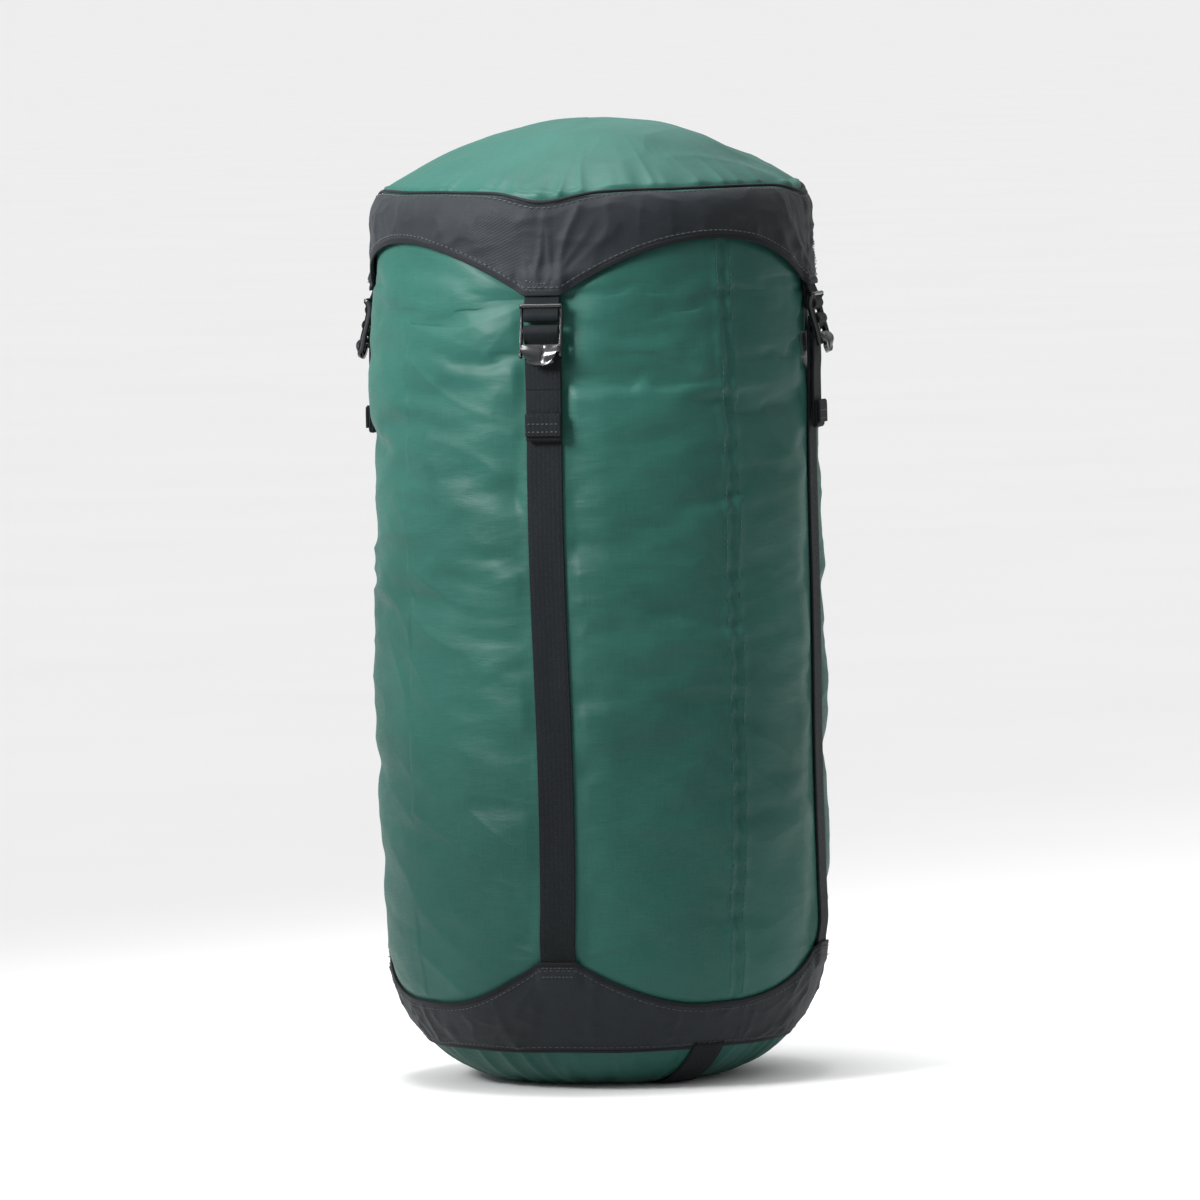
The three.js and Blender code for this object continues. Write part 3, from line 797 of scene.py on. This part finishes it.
def crease_lift(angle, climb, seed):
    """Tension folds of a yoke, fanning out from its points. climb is the distance from the tip's level."""
    away = from_strap(angle)
    distance = np.hypot(away, climb)
    direction = np.arctan2(climb, np.hypot(away, 0.004))
    quarter = np.floor((angle - FRONT) / QUARTER + 0.5) * 3.7 + np.tanh(away / 0.008) * 1.3
    where = np.stack([direction * 3.4, distance / 0.045, quarter], -1)
    fan = (ridges(where, 1.0, seed, 2.2) - 0.5) * np.exp(-distance / 0.05) * smooth(distance / 0.02)
    ring = polar(SIDE_R, angle, climb)
    slack = noise3(ring, (0.03, 0.03, 0.02), seed + 4)
    crimp = ridges(ring, (0.012, 0.012, 0.03), seed + 8, 2.0) - 0.5
    creases = ridges(ring, (0.02, 0.02, 0.011), seed + 12, 3.0) - 0.45
    lift = 0.0032 * fan + 0.0012 * slack + 0.0012 * crimp + 0.0010 * creases
    return (lift + np.hypot(lift, 0.0005)) / 2 - 0.0002  # folds stand proud of the cloth beneath


def tip_lift(angle, height_over_tip):
    """Extra height of a yoke's tip where the webbing lies under it."""
    beside = 1 - smooth((np.abs(from_strap(angle)) - WEB_W / 2 + 0.0005) / 0.005)
    return 0.0023 * beside * (1 - smooth((height_over_tip - 0.009) / 0.008))


def edge_fade(from_seam, from_point):
    """Folds die out at both edges of a yoke: its seam and its pointed edge."""
    return smooth(from_seam / 0.006) * smooth(from_point / 0.005)


def yoke_rows(low, high, rows=34):
    """Angles and distances along the outline of a yoke's grid between two edges."""
    run = low[:, None] + (high - low)[:, None] * np.linspace(0, 1, rows)[None]
    return np.repeat(RING[:, None], rows, 1), run


def edge_binding(name, path, out, size):
    """Folded tape along a closed edge; path and out are what on_lid or on_base returns. Its black, darker
    than the yoke's, is partly the tape's own colour and partly painted shade for the shadow line along the
    edge.
    """
    across = np.cross(directions(path, True), out)
    across /= np.linalg.norm(across, axis=1, keepdims=True)
    return sweep(name, path, across, rounded(*size, 0.49, 3), BINDING_AND_EDGE_SHADE, closed=True)


def make_lid_yoke(low, seam):
    angle, run = yoke_rows(low, seam)
    from_seam, from_point = seam[:, None] - run, run - low[:, None]
    climb = run - LID_RUN[0]
    lift = crease_lift(angle, climb, 0.0) * edge_fade(from_seam, from_point)
    lift -= 0.0012 * (1 - smooth(from_seam / 0.004))  # pulled down at the crown seam
    lift += 0.0005 * (1 - smooth(from_point / 0.006))  # free edge stands off the bag
    lift += tip_lift(angle, climb - 0.004)
    points, _ = on_lid(angle, run, lift)
    yoke = sheet_piece("lid_yoke_cloth", points, True, (GIRTH, 0.05), BLACK, YOKE_T)
    settle(yoke, "lid", ["lid_yoke"])


def make_crown(seam):
    """The crown, puckered where it is gathered into the yoke."""
    rings = 64
    share = np.linspace(0, 1, rings)[None] ** 1.15
    start = (seam - 0.0012)[:, None]
    run = start + (LID_RUN[-1] - 0.0004 - start) * share
    angle = np.repeat(RING[:, None], rings, 1)
    inward = run - seam[:, None]
    ring = polar(CROWN_R, angle, inward * 0.35)
    gather = 0.75 + 0.6 * np.exp(-(from_strap(angle) / 0.022) ** 2)
    pucker = 0.0026 * (ridges(ring, (0.0125, 0.0125, 0.02), 3.0, 2.2) - 0.5)
    pucker = pucker * np.exp(-np.maximum(inward, 0) / 0.018)
    flat = polar(CROWN_R - inward, angle, 0 * inward)
    broad = 0.0017 * noise3(flat, 0.055, 6.0) + 0.0007 * noise3(flat, 0.022, 2.0)
    broad += 0.0008 * (ridges(flat, 0.035, 4.0, 3.5) - 0.35)
    edge = smooth(inward / 0.004)
    lift = (pucker * gather + broad * smooth(inward / 0.02)) * edge - 0.0016 * (1 - edge)
    lift += 0.0012 * smooth(inward / 0.005) * (1 - smooth((inward - 0.006) / 0.03))
    points, _ = on_lid(angle, run, lift)
    crown = sheet_piece("lid_crown_cloth", points, True, (2 * math.pi * CROWN_R, CROWN_R), GREEN, CLOTH_T)
    close_middle(crown)
    settle(crown, "lid", ["lid_crown"])


def make_lid():
    """The lid's yoke and crown, the bindings along both edges of the yoke, and their stitching."""
    low, seam = lid_low_run(RING), lid_seam_run(RING)
    make_lid_yoke(low, seam)
    make_crown(seam)
    over_tip = tip_lift(RING, low - LID_RUN[0] - 0.004)
    # the edge binding's darker black is partly painted shade for the shadow under the lid's free edge
    edge = on_lid(RING, low + 0.0011, 0.0006 + over_tip)
    settle(edge_binding("lid_edge_binding", *edge, (0.0026, 0.0010)), "lid")
    # dark piping round the crown seam: partly a real seam edge, partly painted shade standing in for the
    # shadow line at the seam
    piping = on_lid(RING, seam, 0.0004)
    settle(edge_binding("crown_seam_piping_and_shade_line", *piping, (0.0019, 0.0016)), "lid")
    thread = []
    for run, lift in ((low + 0.0042, 0.0008), (seam - 0.0034, 0.0002)):
        extra = crease_lift(RING, run - LID_RUN[0], 0.0) * edge_fade(seam - run, run - low)
        extra = extra + tip_lift(RING, run - LID_RUN[0] - 0.004)
        path, out = on_lid(RING, run, lift + extra)
        thread.append(stitches(path, out, BLACK_THREAD, EDGE_STITCH, closed=True))
    settle(joined("lid_stitching", thread), "lid")


def close_middle(piece):
    """Welds the innermost ring of a round panel to one point."""
    work = bmesh.new()
    work.from_mesh(piece.data)
    bmesh.ops.remove_doubles(work, verts=work.verts, dist=0.00002)
    work.to_mesh(piece.data)
    work.free()


def make_pull_loop():
    low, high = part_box("lid_pull_loop")
    turn = math.atan2((low.y + high.y) / 2, (low.x + high.x) / 2)
    out = np.array([math.cos(turn), math.sin(turn), 0])
    across = np.array([-math.sin(turn), math.cos(turn), 0])
    seam = out * (CROWN_R + 0.0005) + np.array([0, 0, CROWN_Z - 0.0005])
    shape = [(0.0009, 0), (0.0016, 0.0045), (0.0026, 0.008), (0.0012, 0.0112), (-0.0012, 0.0112),
             (-0.0026, 0.008), (-0.0016, 0.0045), (-0.0009, 0)]
    path = smooth_path([seam + out * o + np.array([0, 0, h]) for o, h in shape], 0.0008)
    loop = sweep("pull_loop_tape", path, across, rounded(0.0098, 0.0009, 0.45, 3), WEBBING)
    settle(loop, "lid", ["lid_pull_loop"])


# ---------------- the gathered mouth under the lid
HOLE_R = 0.0168  # the closed mouth's hole


def make_mouth():
    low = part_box("gathered_mouth")[0]
    turn_r, turn_wide, turn_high, rise = 0.100, 0.0104, 0.0048, 0.020
    turn_share = 0.15  # share of the rows in the turn at the mouth's rim
    angle, t = np.meshgrid(angles_round(384), np.linspace(0, 1, 48), indexing="ij")
    bend = np.clip(t / turn_share, 0, 1) * QUARTER
    inward = np.clip((t - turn_share) / (1 - turn_share), 0, 1)
    r = np.where(t < turn_share, turn_r + turn_wide * np.cos(bend), turn_r + (HOLE_R - turn_r) * inward)
    z = low.z + turn_high * np.sin(bend) + (rise - turn_high) * inward
    pleats = np.sin(angle * PLEATS + 2.2 * noise3(polar(1, angle, t), 0.4, 1.0))
    z = z + 0.0013 * pleats * smooth(inward / 0.3) * smooth((1 - inward) / 0.15)
    mouth = sheet_piece("mouth_gathers", polar(r, angle, z - 0.0004), True, (GIRTH, 0.11), GREEN, CLOTH_T)
    settle(mouth, "lid", ["gathered_mouth"])


def make_hem():
    """The hem round the mouth's hole, crimped over the drawcord: a C in section, open inwards."""
    low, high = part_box("mouth_hem")
    turn = angles_round(320)
    crimp = 0.0005 * np.sin(turn * PLEATS)
    path = polar(HOLE_R + 0.0028 + crimp, turn, (low.z + high.z) / 2 + 0.4 * crimp)
    opening = np.linspace(0.6, 5.68, 14)
    section = []
    for scale, bends in ((1.0, opening), (0.72, opening[::-1])):
        section += [(-0.0040 * scale * math.cos(a), 0.0031 * scale * math.sin(a)) for a in bends]
    hem = sweep("mouth_hem_cloth", path, polar(1, turn, 0 * turn), section, BLACK, closed=True)
    settle(hem, "lid", ["mouth_hem"])


# ---------------- the base
FOOT_POINTS = 30  # of the base's outline that lie on the floor


def base_outline():
    """Outline of the base and lower side, from the middle of the foot outwards and up."""
    points = [(r, 0.0) for r in np.linspace(0, FOOT_R, FOOT_POINTS)]
    for turn in np.linspace(0, QUARTER, 40)[1:]:
        points.append((FOOT_R + (SIDE_R - FOOT_R) * math.sin(turn), CORNER_H * (1 - math.cos(turn))))
    points += [(SIDE_R + 0.0002, z) for z in np.linspace(CORNER_H, 0.09, 16)[1:]]
    return np.array(points)


BASE_LINE = base_outline()
BASE_RUN = run_along(BASE_LINE)
HANDLE_ANGLE = FRONT + math.pi / 4  # the handle crosses the base between two straps


def on_base(angle, run, lift):
    return on_outline(BASE_LINE, BASE_RUN, angle, run, lift)


def base_run_at(z):
    return np.interp(z, BASE_LINE[FOOT_POINTS:, 1], BASE_RUN[FOOT_POINTS:])


def base_crease(angle, climb):
    """Folds of the base yoke, pressed flat where a strap's tail can hang over them."""
    clear = smooth((np.abs(from_strap(angle)) - 0.0105) / 0.006)
    return crease_lift(angle, climb, 20.0) * (0.1 + 0.9 * clear)


def make_base_panel():
    """The round base, with creases at its corner and a hollow under the handle."""
    end = float(base_run_at(BASE_LOW_Z + 0.012))
    angle, run = np.meshgrid(RING, end * np.linspace(0.0005, 1, 70) ** 0.8, indexing="ij")
    r = np.interp(run, BASE_RUN, BASE_LINE[:, 0])
    flat = polar(r, angle, run * 0.2)
    corner = smooth((run - FOOT_R) / 0.02)
    creases = ridges(polar(0.1, angle, run * 0.3), (0.014, 0.014, 0.03), 5.0, 2.4)
    lift = 0.0016 * (creases - 0.6) * corner * smooth((end - run) / 0.012)
    lift += 0.0005 * noise3(flat, 0.03, 3.0) - 0.0006
    beside = np.abs(np.cos(angle) * r * math.sin(HANDLE_ANGLE) - np.sin(angle) * r * math.cos(HANDLE_ANGLE))
    hollow = 1 - smooth((beside - 0.0095) / 0.003)
    near_floor = 1 - smooth((run - FOOT_R - 0.006) / 0.014)
    lift = lift * (1 - hollow) + (-0.0004 - 0.0019 * near_floor) * hollow
    lift = np.where(run < FOOT_R + 0.012, np.minimum(lift, 0.0), lift)
    points, _ = on_base(angle, run, lift)
    points[..., 2] = np.maximum(points[..., 2], 0.00005)
    panel = sheet_piece("base_panel_cloth", points[::-1], True, (2 * math.pi * 0.1, end), GREEN)
    close_middle(panel)
    fix_normals(panel)
    settle(panel, "bag", ["base_panel"])


def make_base_yoke():
    """The black yoke with a point up at each strap, its bindings and its stitching."""
    ring = polar(1, RING, 0 * RING)
    sag = 0.0008 * noise3(ring, 0.3, 5.0) * (1 - point_shape(RING, BASE_SPREAD))
    top = base_run_at(base_edge(RING)) + sag
    low = float(base_run_at(BASE_LOW_Z)) + 0.0007 * noise3(ring, 0.4, 9.0)
    tip = base_run_at(BASE_TIP_Z)
    angle, run = yoke_rows(low, top)
    fade = edge_fade(run - low[:, None], top[:, None] - run)
    lift = 0.0012 + base_crease(angle, tip - run) * fade + tip_lift(angle, tip - run)
    points, _ = on_base(angle, run, lift)
    yoke = sheet_piece("base_yoke_cloth", points, True, (GIRTH, 0.045), BLACK, YOKE_T)
    settle(yoke, "bag", ["base_yoke"])

    # the bindings' darker black is partly painted shade for the shadow lines along the base yoke's edges
    edges = ((low + 0.0010, 0.0010, (0.0024, 0.0011)),
             (top - 0.0010, 0.0011 + tip_lift(RING, tip - top), (0.0024, 0.0010)))
    bindings = [edge_binding("base_binding", *on_base(RING, run, lift), size) for run, lift, size in edges]
    settle(joined("base_yoke_binding", bindings), "bag")
    thread = []
    for run in (low + 0.0040, top - 0.0040):
        extra = base_crease(RING, tip - run) * edge_fade(run - low, top - run)
        path, out = on_base(RING, run, 0.0013 + (extra + tip_lift(RING, tip - run)))
        thread.append(stitches(path, out, BLACK_THREAD, EDGE_STITCH, closed=True))
    settle(joined("base_yoke_stitching", thread), "bag")


def make_handle():
    out = np.array([math.cos(HANDLE_ANGLE), math.sin(HANDLE_ANGLE), 0])
    across = np.array([-out[1], out[0], 0])
    off_floor, off_cloth = 0.0011, 0.00135  # of the webbing's middle
    half = [(0.0, off_floor), (0.026, off_floor), (FOOT_R + 0.006, off_floor)]
    for turn in (0.22, 0.34, 0.48, 0.61, 0.74, 0.86):
        r = FOOT_R + (SIDE_R - FOOT_R) * math.sin(turn)
        z = CORNER_H * (1 - math.cos(turn))
        half.append((r + off_cloth * math.sin(turn), max(z - off_cloth * math.cos(turn), off_floor)))
    line = [(-o, h) for o, h in reversed(half[1:])] + half
    path = smooth_path([out * o + np.array([0, 0, h]) for o, h in line], 0.0025)
    handle = sweep("bottom_handle_webbing", path, across, rounded(WEB_W, WEB_T), WEBBING)
    settle(handle, "bag", ["bottom_handle"])


# ---------------- straps and buckles
def on_buckle(out, down):
    """A place on the tilted front buckle: out from its plane and down from bar A."""
    return (BAR_A.y - out * math.cos(TILT) - down * math.sin(TILT),
            BAR_A.z + out * math.sin(TILT) - down * math.cos(TILT))


def at_front(pairs):
    """(outwards, height) pairs as points in the front strap's middle plane."""
    return [(0.0, -out, z) for out, z in pairs]


def turn_round(centre, radius, start, end, steps):
    return [(centre[0] + radius * math.cos(a), centre[1] + radius * math.sin(a))
            for a in np.linspace(start, end, steps)]


RAIL_X = WEB_W / 2 + RAIL_GAP + RAIL_W / 2  # middle of a buckle's rail
LIP = (0.0032, -0.0046)  # the top lip, in front of the tab and above bar A


def buckle_bar(name, place, wide, high, half, count):
    """A bar across the buckle, oval in section."""
    path = [(x, *on_buckle(*place)) for x in np.linspace(-half, half, count)]
    return sweep(name, path, (0, 0, 1), oval(wide, high), PLASTIC)


def buckle_thumb():
    """The dished thumb tab, narrowing to a rounded end, with two cushions split by a groove."""
    s, t = np.meshgrid(np.linspace(-1, 1, 41), np.linspace(0, 1, 30), indexing="ij")
    root = BAR_C_DOWN - 0.0012
    half = RAIL_X + 0.0004 - 0.0040 * smooth((t - 0.1) / 0.9)
    end = THUMB_DOWN - 0.0024 * np.abs(s) ** 3.5
    dish = 0.0006 * (1 - s * s) * smooth(t / 0.3)
    belly = 0.0022 * np.sin(math.pi * t ** 0.8) ** 2
    cleft = np.exp(-((s - 0.12) / 0.09) ** 2)
    out = 0.0008 + 0.0016 * t ** 2 - dish + belly * (0.45 + 0.55 * np.abs(s) ** 0.7 - 0.5 * cleft)
    points = np.stack([s * half, *on_buckle(out, root + (end - root) * t)], -1)
    faces, _ = grid_parts(points, False, (1, 1))
    thumb = mesh_piece("thumb", points.reshape(-1, 3), faces, None, PLASTIC)
    solid = thumb.modifiers.new("thickness", "SOLIDIFY")
    solid.thickness, solid.offset = 0.0021, 0
    edge = thumb.modifiers.new("edge", "BEVEL")
    edge.width, edge.segments, edge.limit_method, edge.angle_limit = 0.0008, 3, "ANGLE", math.radians(50)
    return bake(thumb)


def buckle_parts():
    """One ladderlock at the front: rounded rails, a top lip, three bars, a thumb tab and grip teeth."""
    parts = []
    for sign in (-1, 1):
        line = [LIP, (0.0016, -0.0030), (0.0004, 0.0), (0.0002, 0.004), (0.0003, BAR_B_DOWN),
                (0.0006, BAR_C_DOWN - 0.002), (0.0004, BAR_C_DOWN + 0.003), (0.0006, BAR_C_DOWN + 0.0052)]
        path = smooth_path([(sign * RAIL_X, *on_buckle(*place)) for place in line], 0.0005)
        parts.append(sweep("rail", path, (1, 0, 0), rounded(RAIL_W, 0.0034, 0.4, 4), PLASTIC))
    parts.append(buckle_bar("lip", LIP, 0.0011, 0.0012, RAIL_X + RAIL_W * 0.45, 30))
    for down, thick in ((0.0, 0.0031), (BAR_B_DOWN, 0.0030), (BAR_C_DOWN, 0.0034)):
        parts.append(buckle_bar("bar", (0.0002, down), thick / 2, thick / 2, RAIL_X, 24))
    parts.append(buckle_thumb())
    # grip teeth on bar C, facing the strap
    teeth, tooth_pitch = 9, 0.0021
    y, z = on_buckle(-0.0013, BAR_C_DOWN)
    for k in range(teeth):
        x = (k - teeth // 2) * tooth_pitch
        line = [(x, y + 0.0003, z - 0.0010), (x, y - 0.0001, z), (x, y + 0.0003, z + 0.0010)]
        path = smooth_path(line, 0.0005)
        parts.append(sweep("tooth", path, (1, 0, 0), rounded(0.0008, 0.0008, 0.4, 2), PLASTIC))
    return parts


BAR_B, BAR_C = ((-y, z) for y, z in (on_buckle(0, BAR_B_DOWN), on_buckle(0, BAR_C_DOWN)))
WRAP_R = BAR_R + WRAP_GAP + WEB_T / 2  # the webbing's middle where it turns round a bar
LOAD_R = STRAP_IN + WEB_T / 2  # distance from the axis of the load strap's middle
TAIL_R = LOAD_R + WEB_T + 0.0005  # and of the tail's
PINCH = (BAR_C[0] - WRAP_R - 0.0002, BAR_C[1] - 0.002)
TAIL_SPLIT_Z = 0.5 * (STOP_HIGH + PINCH[1]) - 0.004  # between the tail's upper part and its end
TAB_IN, TAB_OUT = SIDE_R + 0.0012, SIDE_R + 0.0012 + WEB_T


def ribbon(name, side, pairs, spacing=0.0012):
    """A side's webbing through (outwards, height) pairs."""
    path = turned_copy(smooth_path(at_front(pairs), spacing), side)
    return sweep(name, path, turned_copy((1, 0, 0), side), rounded(WEB_W, WEB_T), WEBBING)


def bend_between(piece, side, start, end):
    """Bakes a side's webbing's transform into its mesh; the two (outwards, height) places do not change it.
    """
    start, end = turned_copy(at_front([start, end]), side)
    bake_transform(piece)


def tacking(side, radius, rows, size):
    """Rows of stitches across a side's webbing, each with its height and how far its ends curl up."""
    x = np.linspace(-WEB_W / 2 + 0.001, WEB_W / 2 - 0.001, 24)
    out = np.broadcast_to(turned_copy((0, -1, 0), side), (len(x), 3))
    made = []
    for height, curl in rows:
        path = np.stack([x, np.full_like(x, -radius), height + curl * (np.abs(x) / (WEB_W / 2)) ** 2], 1)
        made.append(stitches(turned_copy(path, side), out, BLACK_THREAD, size))
    return made


def make_tab(side):
    """The lid's webbing loop: from under the lid's point, round bar A and back, with its tacking."""
    bar = (-BAR_A.y, BAR_A.z)
    inner = bar[0] - WRAP_R
    tab = ribbon(f"lid_tab_{side}_webbing", side, [
        (TAB_IN, LID_TIP_Z + 0.009), (TAB_IN, LID_TIP_Z + 0.002), (inner, BAR_A.z + 0.004),
        *turn_round(bar, WRAP_R, math.pi, 2 * math.pi + 0.3, 9),
        (inner + WEB_T + 0.0008, BAR_A.z + 0.007), (TAB_OUT, LID_TIP_Z + 0.001),
        (TAB_OUT, LID_TIP_Z + 0.009)], 0.0009)
    settle(tab, nodes=[f"lid_tab_{side}"])
    bend_between(tab, side, (inner, LID_TIP_Z), bar)
    rows = ((LID_TIP_Z + 0.0020, 0.0018), (LID_TIP_Z + 0.0062, 0.0024))
    tack = joined(f"lid_tack_{side}", tacking(side, SIDE_R + 0.0022 + 0.0025, rows, TACK_STITCH))
    settle(tack, "lid")


def make_base_tack(side):
    """Tacking through the base yoke's point and the load strap under it."""
    rows = ((BASE_TIP_Z - 0.0028, 0.0), (BASE_TIP_Z - 0.0075, 0.0))
    tack = joined(f"base_tack_{side}", tacking(side, SIDE_R + 0.0002 + 0.0036, rows, TACK_STITCH))
    settle(tack, "bag")


def make_load_strap(side):
    """The load strap on the bag and its wrap over bar B."""
    heights = np.linspace(BASE_TIP_Z - 0.009, STRAP_TOP, 90)
    sway, middle = strap_line(heights, SIDES.index(side))
    path = turned_copy(np.stack([sway, -middle, heights], 1), side)
    strap = sweep(f"load_strap_{side}", path, turned_copy((1, 0, 0), side), rounded(WEB_W, WEB_T), WEBBING)
    settle(strap, nodes=[f"strap_{side}"])
    follow_press(strap)
    wrap = ribbon(f"strap_wrap_{side}_webbing", side, [
        (LOAD_R, STRAP_TOP), (LOAD_R + 0.0001, BAR_C[1]), *turn_round(BAR_B, WRAP_R, math.pi, -0.25, 11),
        (BAR_B[0] + 0.0012, BAR_B[1] - 0.003), (BAR_C[0] - WRAP_R - 0.0003, BAR_C[1] + 0.0015),
        PINCH], 0.0008)
    settle(wrap, nodes=[f"strap_wrap_{side}"])
    bend_between(wrap, side, (LOAD_R, STRAP_TOP),
                 (LOAD_R + 0.0035, STRAP_TOP + 0.0055))


def make_tail(side):
    """The tail: its upper part leaves the buckle, and its lower end carries the folded stop."""
    upper = ribbon(f"strap_tail_{side}_upper", side, [
        PINCH, (TAIL_R + 0.0005, BAR_C[1] - 0.012), (TAIL_R + 0.0001, TAIL_SPLIT_Z + 0.004),
        (TAIL_R, TAIL_SPLIT_Z)])
    settle(upper)
    bend_between(upper, side, (TAIL_R, TAIL_SPLIT_Z), (TAIL_R, PINCH[1] - 0.002))
    fold = STOP_HIGH - STOP_LOW
    end = ribbon(f"strap_tail_{side}_end", side, [
        (TAIL_R, TAIL_SPLIT_Z), (TAIL_R, STOP_HIGH), (TAIL_R, STOP_LOW + 0.0008),
        (TAIL_R + 0.5 * WEB_T, STOP_LOW), (TAIL_R + WEB_T, STOP_LOW + 0.0008),
        (TAIL_R + WEB_T, STOP_HIGH - 0.0012), (TAIL_R + 1.5 * WEB_T, STOP_HIGH - 0.0004),
        (TAIL_R + 2 * WEB_T, STOP_HIGH - 0.0012), (TAIL_R + 2 * WEB_T + 0.0001, STOP_LOW + 0.0016)], 0.0006)
    rows = ((STOP_LOW + 0.3 * fold, 0.0), (STOP_LOW + 0.62 * fold, 0.0))
    rows = tacking(side, TAIL_R + 2.5 * WEB_T + 0.0001, rows, STOP_STITCH)
    end = joined(f"strap_tail_{side}_end", [end] + rows)
    settle(end, nodes=[f"strap_tail_{side}", f"strap_stop_{side}"])
    bend_between(end, side, (TAIL_R, TAIL_SPLIT_Z), (TAIL_R, STOP_HIGH))


def make_buckle(side):
    parts = buckle_parts()
    for part in parts:
        part.data.transform(Matrix.Rotation(SIDES.index(side) * QUARTER, 4, "Z"))
    buckle = joined(f"ladderlock_{side}_moulding", parts)
    settle(buckle, f"buckle_{side}", [f"ladderlock_{side}"])


# ---------------- the drawcord and its lock
def make_drawcord():
    """The cord's route in its hem and through the cord lock, as in the CAD, with its braid's ridges."""
    low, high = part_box("drawcord")
    radius, apart, loop_r, turn_in = (high.z - low.z) / 2, 0.0022, 0.019, 0.42
    middle = (low.z + high.z) / 2
    straight = (0.010, 0.004, -0.002, -0.008, -0.013)
    around = -QUARTER - turn_in - np.linspace(0, 2 * math.pi - 2 * turn_in, 21)
    route = [(-apart, y, middle) for y in straight]
    route += [(loop_r * math.cos(a), loop_r * math.sin(a), middle) for a in around]
    route += [(apart, y, middle) for y in reversed(straight)]
    strands = 8
    section = []
    for a in angles_round(32):
        r = radius * (0.97 + 0.03 * math.cos(strands * a))
        section.append((r * math.cos(a), r * math.sin(a)))
    cord = sweep("drawcord_braid", smooth_path(route, 0.0008), (0, 0, 1), section, BLACK_THREAD)
    settle(cord, "lid", ["drawcord"])


def finish_cord_lock():
    """The cord lock keeps its CAD shapes and gets its looks."""
    for part, material in (("barrel", PLASTIC), ("plunger", PLASTIC), ("spring", STEEL)):
        mesh = frame["nodes"][f"cord_lock_{part}"].data
        mesh.materials.clear()
        mesh.materials.append(material)


# ---------------- camera, floor and light
def studio():
    scene = bpy.context.scene
    target = Vector((0, 0, HEIGHT * 0.497))
    azimuth, elevation, roll, distance = math.radians(13), math.radians(3.6), math.radians(1.3), 6.0
    away = Vector((math.sin(azimuth) * math.cos(elevation), -math.cos(azimuth) * math.cos(elevation),
                   math.sin(elevation)))
    camera = bpy.data.objects.new("camera", bpy.data.cameras.new("camera"))
    camera.data.lens = 338
    camera.data.sensor_width = 36
    camera.location = target + away * distance
    facing = (-away).to_track_quat("-Z", "Y")
    camera.rotation_euler = (facing.to_matrix().to_4x4() @ Matrix.Rotation(-roll, 4, "Z")).to_euler()
    scene.collection.objects.link(camera)
    scene.camera = camera

    bpy.ops.mesh.primitive_plane_add(size=400, location=(0, 0, 0))
    floor = bpy.context.object
    floor.name = "studio_floor"
    paper, tree, shader = new_material("paper_floor", 0.85)
    speck = noise_node(tree, object_place(tree), 3.0, 3.0)
    connect(tree, shader, Base_Color=mix_colour(tree, speck, (0.88, 0.88, 0.88, 1), (0.92, 0.92, 0.92, 1)))
    floor.data.materials.append(paper)

    def softbox(name, place, size, power, aim, spread):
        lamp = bpy.data.lights.new(name, "AREA")
        lamp.shape = "RECTANGLE"
        lamp.size, lamp.size_y = size
        lamp.energy = power
        lamp.spread = math.radians(spread)
        holder = bpy.data.objects.new(name, lamp)
        holder.location = place
        holder.rotation_euler = (Vector(aim) - Vector(place)).to_track_quat("-Z", "Y").to_euler()
        scene.collection.objects.link(holder)

    softbox("key_softbox", (-0.74, -0.88, 0.98), (0.5, 0.5), 5.7, (0, 0, 0.58), 54)
    softbox("top_softbox", (-0.1, 0.0, 1.45), (0.6, 0.6), 2.6, (0, 0, 0.5), 70)
    world = bpy.data.worlds.new("studio")
    scene.world = world
    world.use_nodes = True
    tree = world.node_tree
    # a room that is brightest overhead, with a white backdrop all round at the horizon
    sight = node(tree, "ShaderNodeTexCoord").outputs["Generated"]
    upwards = node(tree, "ShaderNodeSeparateXYZ", {0: sight}).outputs[2]
    backdrop = ramp(tree, upwards, 0.03, 0.10, 0.86, 0.3)
    ceiling = ramp(tree, upwards, 0.1, 1.0, 0.3, 1.35)
    sky = math_node(tree, "MAXIMUM", backdrop, ceiling)
    tree.links.new(sky, tree.nodes["Background"].inputs["Strength"])
    tree.nodes["Background"].inputs["Color"].default_value = (1, 1, 1, 1)
    scene.view_settings.view_transform = "Standard"


studio()
tube = make_tube()
make_seam_stitches(tube)
make_lid()
make_pull_loop()
make_mouth()
make_hem()
make_drawcord()
make_base_panel()
make_base_yoke()
make_handle()
for side_name in SIDES:
    make_tab(side_name)
    make_base_tack(side_name)
    make_buckle(side_name)
    make_load_strap(side_name)
    make_tail(side_name)
finish_cord_lock()
